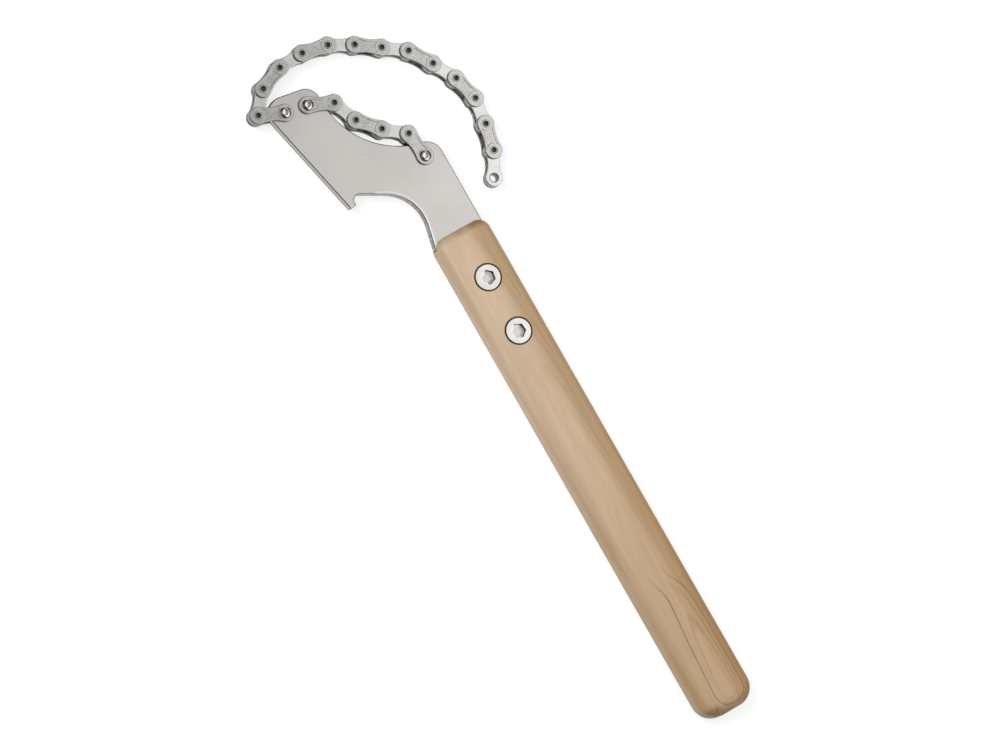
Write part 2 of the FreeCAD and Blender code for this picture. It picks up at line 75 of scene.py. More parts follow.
# Chain plates, pins and rollers.
PLATE_EYE = 4.1 * MM
OUTER_WAIST = 3.2 * MM
INNER_WAIST = 2.9 * MM
INNER_PLATE = 1.15 * MM
OUTER_PLATE = 1.1 * MM
PLATE_RIM = 0.42 * MM
EYE_RIM = 3.05 * MM
PANEL_HALF = 2.1 * MM
PANEL_DEPTH = 0.2 * MM
PIN_RADIUS = 1.83 * MM
PIN_HOLE = 1.15 * MM
PIN_HOLE_DEPTH = 2.4 * MM
PIN_PLAY = 0.05 * MM
END_PLAY = 0.16 * MM
COLLAR_RADIUS = 2.5 * MM
COLLAR_GAP = 0.3 * MM
ROLLER_PLAY = 0.08 * MM
RIVET_HEAD = 2.85 * MM
RIVET_HEAD_HEIGHT = 1.0 * MM
RIVET_BOWL = 1.5 * MM
RIVET_BOWL_DEPTH = 0.75 * MM

# Screws, barrel nuts and the recesses that hold their heads.
SCREW_FIRST = 25.7 * MM
SCREW_SPACING = 28.1 * MM
SCREW_HEAD = 6.0 * MM
SCREW_HEAD_THICK = 2.3 * MM
SCREW_SHANK = 4.0 * MM
BARREL_RADIUS = 5.0 * MM
BARREL_FIT = 0.1 * MM
RECESS_RADIUS = 6.6 * MM
RECESS_REST = 0.2 * MM
HEAD_TOP = HANDLE_THICK - RECESS_REST / 2
HEAD_UNDER = HEAD_TOP - SCREW_HEAD_THICK
HEX_FLATS = 6.2 * MM
HEX_DEPTH = 3.0 * MM
HEX_TURNS = (-11.0, 7.0)
NUT_HEX_DEPTH = 1.7 * MM
HEAD_RIM = 0.35 * MM
SOCKET_MOUTH = [(0.15 * MM, HEAD_TOP), (0.04 * MM, HEAD_TOP - 0.04 * MM),
                (0.0, HEAD_TOP - 0.15 * MM)]

# Blade, measured from the middle of the handle's front end.
BLADE_SIDE = 12.6 * MM
TANG_END = SCREW_FIRST + SCREW_SPACING + 16.2 * MM
TANG_LOW = 11.5 * MM
TANG_FIT = 0.1 * MM
LUG_WIDE = 7.6 * MM
LUG_NARROW = 7.15 * MM
LUG_SHIFT = 1.4 * MM
LUG_SIDE_ANGLE = 76.0
SADDLE_STRAIGHT = 1.2 * MM
HEAD_CORNER = 7.4 * MM
HEAD_SIDE_OFFSET = 7.85 * MM
HEAD_SIDE_ANGLE = 81.0
SPINE_OFFSET = 7.17 * MM
SPINE_ANGLE = 12.86
HOOK_END_ANGLE = 101.5
HOOK_CORNER = 0.8 * MM
BARB = (-32.7 * MM, -35.6 * MM)
BARB_ANGLE = 10.0
BARB_CORNER = 0.4 * MM
NOTCH_RADIUS = 2.6 * MM
ARCH_RADIUS = 20.0 * MM
ARCH_SIDE = (-30.38 * MM, -21.16 * MM)
ARCH_SIDE_ANGLE = 61.5
ARCH_LOW = (-8.3 * MM, -11.21 * MM)
ARCH_LOW_ANGLE = 13.0
HEEL_X = 3.6 * MM
HEEL_CORNER = 1.2 * MM
SHOULDER_CORNER = 0.2 * MM
BLADE_CHAMFER = 0.6 * MM
BLADE_EASE = 0.12 * MM

# Handle.
HANDLE_EDGE = 5.0 * MM
FRONT_CORNER = 5.6 * MM
BUTT_CORNER = 9.6 * MM

# How the photograph was taken.
CAMERA_TILT = math.radians(16.5)
HANDLE_TURN = math.atan2(0.8684, 0.4959)
VIEW_WIDTH = 456.9 * MM
CAMERA_DISTANCE = 4.0
SENSOR_WIDTH = 36.0
VIEW_CENTRE = Vector((-59.14, -15.87, 8.0)) * MM


# Outlines are lists of 2-D points, anticlockwise.

def circle(x, y, radius, steps=48):
    """A closed round loop."""
    turns = [2 * math.pi * i / steps for i in range(steps)]
    return [Vector((x + radius * math.cos(t), y + radius * math.sin(t))) for t in turns]


def arc(centre, radius, start, end):
    """Points along an arc between two angles in radians, finer where the arc is wide."""
    step = min(ARC_STEP, math.sqrt(0.08 * MM / radius))
    steps = max(2, math.ceil(abs(end - start) / step))
    turns = [start + (end - start) * i / steps for i in range(steps + 1)]
    return [centre + radius * Vector((math.cos(t), math.sin(t))) for t in turns]


def rounded_loop(corners):
    """A closed loop of straight runs joined by tangent arcs; each corner is (x, y, radius)."""
    points = [Vector((x, y)) for x, y, _ in corners]
    loop = []
    for i, (_, _, radius) in enumerate(corners):
        back = (points[i - 1] - points[i]).normalized()
        ahead = (points[(i + 1) % len(points)] - points[i]).normalized()
        half = back.angle(ahead) / 2
        centre = points[i] + (back + ahead).normalized() * radius / math.sin(half)
        start = points[i] + back * radius / math.tan(half) - centre
        end = points[i] + ahead * radius / math.tan(half) - centre
        first = math.atan2(start.y, start.x)
        swing = math.remainder(math.atan2(end.y, end.x) - first, 2 * math.pi)
        loop += arc(centre, radius, first, first + swing)
    return loop


def pushed(loop, distance):
    """A loop's points moved sideways, outwards for a positive distance."""
    moved = []
    for i, point in enumerate(loop):
        along = loop[(i + 1) % len(loop)] - loop[i - 1]
        moved.append(point + Vector((along.y, -along.x)).normalized() * distance)
    return moved


def rounded_walls(bottom, top, rim, steps=4):
    """A wall's profile as (push, height) pairs, rounded inwards at both ends."""
    turns = [math.pi / 2 * i / steps for i in range(steps + 1)]
    lower = [(rim * (math.sin(t) - 1), bottom + rim * (1 - math.cos(t))) for t in turns]
    upper = [(push, top + bottom - height) for push, height in reversed(lower)]
    return lower + upper


def chamfered_walls(bottom, top, slope, soft):
    """A wall's profile with a chamfer at both ends, whose two corners are eased."""
    turn = math.pi / 8
    rim = slope * math.sqrt(0.5) + soft * (math.cos(turn) + math.sin(turn))
    steps = [(soft, turn), (slope, 2 * turn), (soft, 3 * turn)]
    lower = [(-rim, bottom)]
    for length, lean in steps:
        push, height = lower[-1]
        lower.append((push + length * math.cos(lean), height + length * math.sin(lean)))
    upper = [(push, top + bottom - height) for push, height in reversed(lower)]
    return lower + upper


# Solids: rings of points that follow a loop, joined by walls and closed by flat faces.

def add_walls(solid, loop, profile):
    """Walls through a loop pushed and lifted as the profile says; gives the end rings."""
    rings = [[solid.verts.new((p.x, p.y, height)) for p in pushed(loop, push)]
             for push, height in profile]
    for lower, upper in zip(rings, rings[1:]):
        for i in range(len(loop)):
            j = (i + 1) % len(loop)
            solid.faces.new((lower[i], lower[j], upper[j], upper[i]))
    return rings[0], rings[-1]


def close(solid, rings):
    """A flat face between rings at one height, with the inner ones left open."""
    edges = [solid.edges.get((ring[i - 1], ring[i])) for ring in rings for i in range(len(ring))]
    bmesh.ops.triangle_fill(solid, use_beauty=True, use_dissolve=False, edges=edges)


def make_solid(outline, profile, holes=(), pits=()):
    """A closed solid with holes right through it and pits that go down from its top."""
    solid = bmesh.new()
    bottom, top = add_walls(solid, outline, profile)
    bottoms, tops = [bottom], [top]
    for loop, hole_profile in holes:
        bottom, top = add_walls(solid, loop, hole_profile)
        bottoms.append(bottom)
        tops.append(top)
    for loop, pit_profile in pits:
        top, floor = add_walls(solid, loop, pit_profile)
        tops.append(top)
        close(solid, [floor])
    close(solid, bottoms)
    close(solid, tops)
    bmesh.ops.recalc_face_normals(solid, faces=solid.faces)
    return solid


def mirrored(solid):
    """The same solid on the other side of the plane z = 0."""
    other = solid.copy()
    bmesh.ops.scale(other, vec=(1, 1, -1), verts=other.verts)
    bmesh.ops.reverse_faces(other, faces=other.faces)
    return other


def set_normals(mesh):
    """Smooth shading that keeps flat faces flat and sharp bends sharp."""
    mesh.shade_smooth()
    normals = [face.normal.copy() for face in mesh.polygons]
    level = [abs(normal.z) > 0.9999 for normal in normals]
    around = [[] for _ in mesh.vertices]
    for face in mesh.polygons:
        for vertex in face.vertices:
            around[vertex].append(face.index)
    corners = []
    for face in mesh.polygons:
        own = normals[face.index]
        for vertex in face.vertices:
            near = [k for k in around[vertex] if normals[k].dot(own) > SMOOTH_BEND]
            flat = [k for k in near if level[k]] if not level[face.index] else [face.index]
            corners.append(sum((normals[k] for k in flat or near), Vector()).normalized())
    mesh.normals_split_custom_set(corners)


def set_piece(name, members, finish, body, nodes):
    """A piece of placed solids, each (solid, place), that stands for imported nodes."""
    joined = bmesh.new()
    for solid, place in members:
        part = bpy.data.meshes.new("part")
        solid.to_mesh(part)
        part.transform(place)
        joined.from_mesh(part)
        bpy.data.meshes.remove(part)
    mesh = bpy.data.meshes.new(name)
    joined.to_mesh(mesh)
    joined.free()
    set_normals(mesh)
    piece = bpy.data.objects.new(name, mesh)
    bpy.context.scene.collection.objects.link(piece)
    material, slot = finish
    mesh.materials.append(material)
    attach(piece, body)
    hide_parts(*nodes)
    return piece


# Materials.

def add_node(tree, kind, name="", **inputs):
    """A node with its sockets set or linked; a socket's name has _ for each space."""
    node = tree.nodes.new("ShaderNode" + kind)
    node.label = name
    for key, value in inputs.items():
        socket = node.inputs[int(key[1:])] if key[0] == "i" and key[1:].isdigit() \
            else node.inputs[key.replace("_", " ")]
        if isinstance(value, bpy.types.NodeSocket):
            tree.links.new(value, socket)
        else:
            socket.default_value = value
    return node


def maths(tree, operation, first, second=0.0, third=0.0, clamp=False):
    """The output of one sum on two or three values or sockets."""
    node = add_node(tree, "Math", i0=first, i1=second, i2=third)
    node.operation = operation
    node.use_clamp = clamp
    return node.outputs[0]


def remap(tree, value, low, high, new_low=0.0, new_high=1.0):
    """A value moved smoothly from one range to another."""
    node = add_node(tree, "MapRange", i0=value, i1=low, i2=high, i3=new_low, i4=new_high)
    node.interpolation_type = "SMOOTHSTEP"
    return node.outputs[0]


def distance(tree, along, across):
    """How far away a point is, from its two distances along and across."""
    squared = maths(tree, "MULTIPLY_ADD", along, along, maths(tree, "MULTIPLY", across, across))
    return maths(tree, "SQRT", squared)


def mix(tree, share, first, second):
    """Two colours mixed."""
    node = tree.nodes.new("ShaderNodeMix")
    node.data_type = "RGBA"
    for index, value in ((0, share), (6, first), (7, second)):
        if isinstance(value, bpy.types.NodeSocket):
            tree.links.new(value, node.inputs[index])
        else:
            node.inputs[index].default_value = value
    return node.outputs[2]


def stretched(tree, vector, stretch):
    """Coordinates scaled along each axis."""
    node = add_node(tree, "Mapping", Vector=vector, Scale=stretch)
    return node.outputs[0]


def noise(tree, vector, scale, detail=3.0, roughness=0.5, distortion=0.0):
    """A noise value between 0 and 1."""
    node = add_node(tree, "TexNoise", Vector=vector, Scale=scale, Detail=detail,
                    Roughness=roughness, Distortion=distortion)
    return node.outputs[0]


def new_group(name, inputs, outputs):
    """An empty node group with value sockets, given as {name: default} and a list."""
    tree = bpy.data.node_groups.new(name, "ShaderNodeTree")
    for label, default in inputs.items():
        kind = "NodeSocketVector" if default is None else "NodeSocketFloat"
        socket = tree.interface.new_socket(label, in_out="INPUT", socket_type=kind)
        if default is not None:
            socket.default_value = default
    for label, kind in outputs.items():
        tree.interface.new_socket(label, in_out="OUTPUT", socket_type="NodeSocket" + kind)
    return tree, tree.nodes.new("NodeGroupInput"), tree.nodes.new("NodeGroupOutput")


def use_group(tree, group, **inputs):
    """A copy of a node group in a material, with its sockets set or linked."""
    node = tree.nodes.new("ShaderNodeGroup")
    node.node_tree = group
    for key, value in inputs.items():
        if isinstance(value, bpy.types.NodeSocket):
            tree.links.new(value, node.inputs[key])
        else:
            node.inputs[key].default_value = value
    return node


def edge_wear_and_highlight_group():
    """Edges: where handling has worn them bright, and the arch's lip with its painted highlight.
    """
    tree, given, out = new_group("edge wear and highlight", {"Width": 0.3 * MM}, {"Mask": "Float"})
    bevel = add_node(tree, "Bevel", Radius=given.outputs["Width"])
    bevel.samples = 4
    normal = tree.nodes.new("ShaderNodeNewGeometry").outputs["Normal"]
    dot = tree.nodes.new("ShaderNodeVectorMath")
    dot.operation = "DOT_PRODUCT"
    tree.links.new(bevel.outputs[0], dot.inputs[0])
    tree.links.new(normal, dot.inputs[1])
    mask = remap(tree, dot.outputs["Value"], 0.999, 0.93)
    tree.links.new(mask, out.inputs["Mask"])
    return tree


def painted_corner_shade_group():
    """Painted shade in holes, corners and narrow gaps, from how hidden each point is."""
    tree, given, out = new_group("dark corners", {"Reach": 1.5 * MM}, {"Mask": "Float"})
    hidden = add_node(tree, "AmbientOcclusion", Distance=given.outputs["Reach"])
    hidden.samples = 8
    mask = remap(tree, hidden.outputs["AO"], 0.75, 0.15)
    tree.links.new(mask, out.inputs["Mask"])
    return tree


def satin_group():
    """Tumbled metal: soft clouds in its sheen, a fine even grain and a few hair scratches."""
    tree, given, out = new_group(
        "satin", {"Vector": None, "Cloud Scale": 60.0, "Grain Scale": 3500.0, "Scratches": 0.3},
        {"Cloud": "Float", "Height": "Float"})
    vector = given.outputs["Vector"]
    cloud = noise(tree, vector, given.outputs["Cloud Scale"], 4.0, 0.55)
    grain = noise(tree, vector, given.outputs["Grain Scale"], 2.0)
    turned = add_node(tree, "Mapping", Vector=vector, Rotation=(0, 0, 0.35), Scale=(40, 2600, 40))
    lines = noise(tree, turned.outputs[0], 1.0, 2.0, 0.6)
    scratch = maths(tree, "MULTIPLY", remap(tree, lines, 0.66, 0.72), given.outputs["Scratches"])
    height = maths(tree, "SUBTRACT", grain, scratch)
    tree.links.new(cloud, out.inputs["Cloud"])
    tree.links.new(height, out.inputs["Height"])
    return tree


def walls_group():
    """Upright walls; a band along a sheared one, a fracture band near its middle and painted shade
    on its lower part; and the fine lines of a saw-cut one.
    """
    tree, given, out = new_group("walls", {"Vector": None, "Flat": 0.5},
                                 {"Wall": "Float", "Band": "Float", "Lines": "Float"})
    normal = tree.nodes.new("ShaderNodeNewGeometry").outputs["Normal"]
    lean = maths(tree, "ABSOLUTE", add_node(tree, "SeparateXYZ", Vector=normal).outputs[2])
    tree.links.new(remap(tree, lean, given.outputs["Flat"], 0.2), out.inputs["Wall"])
    height = add_node(tree, "SeparateXYZ", Vector=given.outputs["Vector"]).outputs[2]
    # A fracture band just below the middle, and painted shade on the wall's lower part.
    away_from = maths(tree, "ABSOLUTE", maths(tree, "SUBTRACT", height, MID - 0.7 * MM))
    fracture_band_and_low_shade = maths(tree, "ADD", remap(tree, away_from, 0.9 * MM, 0.5 * MM),
                 remap(tree, height, MID - 1.8 * MM, MID - 2.3 * MM), clamp=True)
    tree.links.new(fracture_band_and_low_shade, out.inputs["Band"])
    lines = noise(tree, stretched(tree, given.outputs["Vector"], (1100, 1100, 30)), 1.0, 2.0)
    tree.links.new(remap(tree, lines, 0.35, 0.65), out.inputs["Lines"])
    return tree


def depth_group():
    """How far a point lies inside the part, between two distances from its middle plane."""
    tree, given, out = new_group(
        "depth", {"Vector": None, "Open": 5 * MM, "Deep": 4 * MM}, {"Mask": "Float"})
    height = add_node(tree, "SeparateXYZ", Vector=given.outputs["Vector"]).outputs[2]
    level = maths(tree, "ABSOLUTE", maths(tree, "SUBTRACT", height, MID))
    mask = remap(tree, level, given.outputs["Open"], given.outputs["Deep"])
    tree.links.new(mask, out.inputs["Mask"])
    return tree


EDGE_WEAR_AND_HIGHLIGHT = edge_wear_and_highlight_group()
WALLS = walls_group()
DEPTH = depth_group()
PAINTED_CORNER_SHADE = painted_corner_shade_group()
SATIN = satin_group()
# Near-black painted shade for corners and holes; dark grey painted shade for pin holes and upright
# walls, which also colours real specks; mid-grey painted shade for inner faces and socket floors;
# and a pale painted highlight for the arch's lip.
DARK_SHADE = (0.035, 0.032, 0.028, 1)
PIN_DARK_SHADE = (0.09, 0.087, 0.08, 1)
SPECK_AND_SHADE_DARK = (0.1, 0.095, 0.085, 1)
SHADED_METAL = (0.42, 0.41, 0.39, 1)
SOCKET_SHADE = (0.5, 0.495, 0.48, 1)
LIP_HIGHLIGHT = (0.86, 0.845, 0.81, 1)
CLOUD_SHADE = 0.9
RUB_SHARE = 0.7
DARK_SHADE_SHARE = 0.85


def metal(name, colour, worn, roughness, sheen, grain, edge=0.3, corner=1.5, cloud=60.0,
          wall=0.0, flat=0.5, deep=None, deep_colour=DARK_SHADE, specks=0.0, tint=None):
    """A worn metal finish with painted shade in its corners and, by wall, on its upright walls;
    deep is where painted shade darkens its inner faces and holes, and tint adds more painted
    shade, with the blade's saw lines and a painted highlight.
    """
    material = bpy.data.materials.new(name)
    material.use_nodes = True
    tree = material.node_tree
    shader = tree.nodes["Principled BSDF"]
    place = tree.nodes.new("ShaderNodeTexCoord").outputs["Object"]
    satin = use_group(tree, SATIN, **{"Vector": place, "Cloud Scale": cloud})
    rub = use_group(tree, EDGE_WEAR_AND_HIGHLIGHT, Width=edge * MM)
    corners = use_group(tree, PAINTED_CORNER_SHADE, Reach=corner * MM)
    shade = remap(tree, satin.outputs["Cloud"], 0.3, 0.7)
    darker = tuple(c * CLOUD_SHADE for c in colour[:3]) + (1,)
    plain = mix(tree, shade, darker, colour)
    if specks:
        dots = noise(tree, place, 1500.0, 3.0, 0.6)
        spotted = maths(tree, "MULTIPLY", remap(tree, dots, 0.5, 0.72), specks)
        plain = mix(tree, spotted, plain, SPECK_AND_SHADE_DARK)
    worn_and_shaded = mix(tree, maths(tree, "MULTIPLY", rub.outputs["Mask"], RUB_SHARE), plain, worn)
    walls = use_group(tree, WALLS, Vector=place, Flat=flat)
    if tint:
        worn_and_shaded = tint(tree, place, walls, worn_and_shaded)
    # Painted shade on the inner faces and deep in the holes.
    if deep:
        inside = use_group(tree, DEPTH, Vector=place, Open=deep, Deep=deep - 0.3 * MM)
        worn_and_shaded = mix(tree, inside.outputs["Mask"], worn_and_shaded, deep_colour)
    # Painted shade on upright walls.
    worn_and_shaded = mix(tree, maths(tree, "MULTIPLY", walls.outputs["Wall"], wall), worn_and_shaded, SPECK_AND_SHADE_DARK)
    # Painted shade in corners, holes and gaps.
    painted_corner_share = maths(tree, "MULTIPLY", corners.outputs["Mask"], DARK_SHADE_SHARE)
    oiled = mix(tree, painted_corner_share, worn_and_shaded, DARK_SHADE)
    tree.links.new(oiled, shader.inputs["Base Color"])
    rough = remap(tree, satin.outputs["Cloud"], 0.3, 0.7, roughness - sheen, roughness + sheen)
    tree.links.new(rough, shader.inputs["Roughness"])
    shader.inputs["Metallic"].default_value = 1.0
    bump = add_node(tree, "Bump", Strength=grain, Distance=0.02 * MM,
                    Height=satin.outputs["Height"])
    tree.links.new(bump.outputs[0], shader.inputs["Normal"])
    return material


RING_START = 0.203
RING_CLOSE = 0.243
RING_Y = 0.0032
RING_Z = 0.02224
RING_TURN = -0.023
RING_FALL = -0.051
RING_DRIFT = 5.0 * MM
RING_SPACING = 1.15 * MM
STRONG_RING = 8.45 * MM
INNER_RING = 5.9 * MM
WOOD_PALE = (0.645, 0.475, 0.318, 1)
WOOD_DEEP = (0.51, 0.355, 0.215, 1)
WOOD_SIDE = (0.375, 0.225, 0.09, 1)
WOOD_BUTT = (0.45, 0.28, 0.13, 1)
WOOD_EDGE = (0.35, 0.18, 0.05, 1)
WOOD_LINE_AND_SHADE = (0.19, 0.095, 0.035, 1)
WOOD_STREAK = (0.23, 0.115, 0.035, 1)
WOOD_PORE = (0.4, 0.26, 0.14, 1)
RING_FADE = (0.178, 0.197)
RING_WANDER = 1.2 * MM
BUTT_FADE = (0.06, 0.24)


def growth_rings_group():
    """Growth rings that close round the butt, clear there and faint before it."""
    tree, given, out = new_group(
        "growth rings", {"Vector": None},
        {"Line": "Float", "Strong": "Float", "Side": "Float", "Butt": "Float", "Rim": "Float",
         "Fibre": "Float", "Pore": "Float", "Patch": "Float"})
    vector = given.outputs["Vector"]
    x, y, z = add_node(tree, "SeparateXYZ", Vector=vector).outputs
    near = remap(tree, x, FRONT + RING_FADE[0], FRONT + RING_FADE[1])
    slow = noise(tree, stretched(tree, vector, (14, 70, 70)), 1.0, 2.0)
    wander = maths(tree, "MULTIPLY", maths(tree, "SUBTRACT", slow, 0.5), RING_WANDER)
    past = maths(tree, "SUBTRACT", x, FRONT + RING_START)
    centre = maths(tree, "MULTIPLY_ADD", past, RING_TURN, RING_Y)
    drift = maths(tree, "MULTIPLY", maths(tree, "SUBTRACT", 1.0, near), RING_DRIFT)
    side = maths(tree, "ADD", maths(tree, "SUBTRACT", y, centre), drift)
    deep = maths(tree, "SUBTRACT", z, maths(tree, "MULTIPLY_ADD", past, RING_FALL, RING_Z))
    end = maths(tree, "MAXIMUM", maths(tree, "SUBTRACT", x, FRONT + RING_CLOSE), 0.0)
    squared = maths(tree, "MULTIPLY", side, side)
    for part in (deep, end):
        squared = maths(tree, "MULTIPLY_ADD", part, part, squared)
    radius = maths(tree, "ADD", maths(tree, "SQRT", squared), wander)
    ring = maths(tree, "FRACT", maths(tree, "DIVIDE", maths(tree, "SUBTRACT", radius, STRONG_RING),
                                      RING_SPACING))
    line = maths(tree, "MULTIPLY", remap(tree, ring, 0.35, 0.93), remap(tree, ring, 1.0, 0.93))
    line = maths(tree, "MULTIPLY", line, remap(tree, radius, 5.0 * MM, 7.5 * MM, 0.35, 1.0))
    faint = remap(tree, near, 0.0, 1.0, 0.35, 1.0)
    tree.links.new(maths(tree, "MULTIPLY", line, faint), out.inputs["Line"])
    strong = 0.0
    for size, width, share in ((STRONG_RING, 0.42, 1.0), (INNER_RING, 0.35, 0.3)):
        gap = maths(tree, "ABSOLUTE", maths(tree, "SUBTRACT", radius, size))
        stroke = maths(tree, "MULTIPLY", remap(tree, gap, width * MM, 0.08 * MM), share)
        strong = maths(tree, "ADD", stroke, strong)
    tree.links.new(maths(tree, "MULTIPLY", strong, near), out.inputs["Strong"])
    swayed = maths(tree, "ADD", y, maths(tree, "MULTIPLY", wander, 3.0))
    lower = remap(tree, x, FRONT + 0.12, FRONT + 0.18, 1.8 * MM, 0.0)
    swayed = maths(tree, "ADD", swayed, lower)
    tree.links.new(remap(tree, swayed, 1.5 * MM, 9.5 * MM), out.inputs["Side"])
    butt = remap(tree, x, FRONT + BUTT_FADE[0], FRONT + BUTT_FADE[1])
    tree.links.new(butt, out.inputs["Butt"])
    front = maths(tree, "MULTIPLY", remap(tree, x, FRONT + 4.2 * MM, FRONT + 1.2 * MM),
                  remap(tree, y, -6 * MM, 5 * MM, 0.2, 1.0))
    back = maths(tree, "MULTIPLY", remap(tree, x, FRONT + 0.2455, FRONT + 0.2495),
                 remap(tree, y, 4 * MM, -4 * MM, 0.3, 1.0))
    rim = maths(tree, "MULTIPLY", maths(tree, "ADD", front, back), remap(tree, slow, 0.25, 0.6))
    tree.links.new(rim, out.inputs["Rim"])
    fibre = noise(tree, stretched(tree, vector, (25, 900, 900)), 1.0, 4.0, 0.6)
    tree.links.new(fibre, out.inputs["Fibre"])
    pore = noise(tree, stretched(tree, vector, (160, 3200, 3200)), 1.0, 1.0)
    tree.links.new(remap(tree, pore, 0.62, 0.74), out.inputs["Pore"])
    patch = noise(tree, stretched(tree, vector, (13, 120, 120)), 1.0, 3.0, 0.5, 0.4)
    tree.links.new(patch, out.inputs["Patch"])
    return tree


def oiled_wood():
    """Pale straight-grained hardwood with brown late-wood lines, oiled and sanded smooth."""
    material = bpy.data.materials.new("oiled hardwood")
    material.use_nodes = True
    tree = material.node_tree
    shader = tree.nodes["Principled BSDF"]
    place = tree.nodes.new("ShaderNodeTexCoord").outputs["Object"]
    rings = use_group(tree, growth_rings_group(), Vector=place)
    side, butt = rings.outputs["Side"], rings.outputs["Butt"]
    pale = mix(tree, maths(tree, "MULTIPLY", butt, 0.8), WOOD_PALE, WOOD_BUTT)
    streaks = remap(tree, rings.outputs["Patch"], 0.4, 0.66, 0.0, 0.55)
    base = mix(tree, streaks, pale, mix(tree, butt, WOOD_DEEP, WOOD_SIDE))
    warm = mix(tree, butt, WOOD_SIDE, WOOD_EDGE)
    base = mix(tree, maths(tree, "MULTIPLY", side, 0.8), base, warm)
    line_share = maths(tree, "MULTIPLY", rings.outputs["Line"],
                       maths(tree, "MULTIPLY_ADD", side, 0.5, 0.12))
    base = mix(tree, line_share, base, WOOD_STREAK)
    base = mix(tree, maths(tree, "MULTIPLY", rings.outputs["Strong"], 0.8), base, WOOD_LINE_AND_SHADE)
    base = mix(tree, maths(tree, "MULTIPLY", rings.outputs["Rim"], 0.85), base, WOOD_LINE_AND_SHADE)
    fibre = remap(tree, rings.outputs["Fibre"], 0.35, 0.7, 0.0, 0.3)
    base = mix(tree, fibre, base, WOOD_DEEP)
    base = mix(tree, maths(tree, "MULTIPLY", rings.outputs["Pore"], 0.3), base, WOOD_PORE)
    # Painted shade in corners, recesses and round the mortise, in the colour of the late-wood
    # lines.
    corners = use_group(tree, PAINTED_CORNER_SHADE, Reach=1.2 * MM)
    base = mix(tree, maths(tree, "MULTIPLY", corners.outputs["Mask"], 0.6), base, WOOD_LINE_AND_SHADE)
    tree.links.new(base, shader.inputs["Base Color"])
    tree.links.new(remap(tree, rings.outputs["Fibre"], 0.3, 0.7, 0.42, 0.58),
                   shader.inputs["Roughness"])
    height = maths(tree, "SUBTRACT", maths(tree, "MULTIPLY", rings.outputs["Fibre"], 0.5),
                   rings.outputs["Pore"])
    bump = add_node(tree, "Bump", Strength=0.25, Distance=0.05 * MM, Height=height)
    tree.links.new(bump.outputs[0], shader.inputs["Normal"])
    shader.inputs["Coat Weight"].default_value = 0.12
    shader.inputs["Coat Roughness"].default_value = 0.3
    return material


def cut_edges(tree, place, walls, base):
    """The blade's cut edges: a fracture band and painted shade low on the spine's wall, and the
    arch's wall darkened by painted shade, with saw lines and a painted highlight along its lip.
    """
    x, y, _ = add_node(tree, "SeparateXYZ", Vector=place).outputs
    arch = maths(tree, "MULTIPLY", remap(tree, x, FRONT + BARB[0] - 1 * MM, FRONT + BARB[0]),
                 remap(tree, y, -8 * MM, -9 * MM))
    # Painted highlight along the arch's top edge.
    lip = use_group(tree, EDGE_WEAR_AND_HIGHLIGHT, Width=2.2 * MM)
    lip_highlight_share = maths(tree, "MULTIPLY", remap(tree, lip.outputs["Mask"], 0.03, 0.25), arch)
    base = mix(tree, maths(tree, "MULTIPLY", lip_highlight_share, 0.9), base, LIP_HIGHLIGHT)
    # Painted shade low on the spine's wall and over the arch's wall, with the real fracture band
    # and saw lines.
    fracture_band_and_low_shade = maths(tree, "MULTIPLY", walls.outputs["Band"], 0.8)
    saw_lines_and_shade = maths(tree, "MULTIPLY_ADD", walls.outputs["Lines"], 0.4, 0.4)
    share = maths(tree, "MULTIPLY", walls.outputs["Wall"], mix(tree, arch, fracture_band_and_low_shade, saw_lines_and_shade))
    return mix(tree, share, base, SPECK_AND_SHADE_DARK)


def collar_ring(tree, place, walls, base):
    """The shaded ring round the free link's open hole."""
    x, y, _ = add_node(tree, "SeparateXYZ", Vector=place).outputs
    hole = mounts["chain_end_bore"]
    along, across = [maths(tree, "SUBTRACT", at, spot) for at, spot in zip((x, y), hole)]
    reach = distance(tree, along, across)
    ring = remap(tree, reach, COLLAR_RADIUS, 2.2 * MM, 0.0, 0.85)
    return mix(tree, ring, base, SPECK_AND_SHADE_DARK)


BLADE_FINISH = (metal("satin blade steel", (0.53, 0.513, 0.488, 1), (0.82, 0.8, 0.77, 1),
                      0.32, 0.04, 0.12, edge=0.25, corner=1.0, cloud=25.0, tint=cut_edges),
                "blade_steel")
OUTER_FINISH = (metal("nickel outer plates", (0.51, 0.5, 0.475, 1), (0.9, 0.89, 0.87, 1),
                      0.2, 0.06, 0.25, edge=0.25, corner=1.2, cloud=320.0, wall=0.9, flat=0.85,
                      deep=OUTER_TOP - OUTER_PLATE, deep_colour=SHADED_METAL, specks=0.5),
                "outer_plate_steel")
INNER_FINISH = (metal("nickel inner plates", (0.645, 0.635, 0.61, 1), (0.88, 0.87, 0.85, 1),
                      0.24, 0.05, 0.15, edge=0.2, corner=1.2, cloud=220.0, wall=0.9, flat=0.85,
                      deep=INNER_TOP - INNER_PLATE, deep_colour=SHADED_METAL, specks=0.12,
                      tint=collar_ring),
                "inner_plate_steel")
PIN_FINISH = (metal("chain pins", (0.3, 0.295, 0.28, 1), (0.6, 0.59, 0.56, 1),
                    0.3, 0.05, 0.2, edge=0.12, corner=1.6, cloud=400.0,
                    deep=PIN_END - 0.2 * MM, deep_colour=PIN_DARK_SHADE), "pin_steel")
ROLLER_FINISH = (metal("chain rollers", (0.3, 0.295, 0.28, 1), (0.5, 0.49, 0.47, 1),
                       0.24, 0.04, 0.1, edge=0.15, corner=2.0, cloud=200.0), "roller_steel")
BRIGHT_FINISH = (metal("polished rivets", (0.6, 0.585, 0.555, 1), (0.92, 0.91, 0.89, 1),
                       0.1, 0.03, 0.03, edge=0.12, corner=0.8, cloud=150.0), "bright_steel")
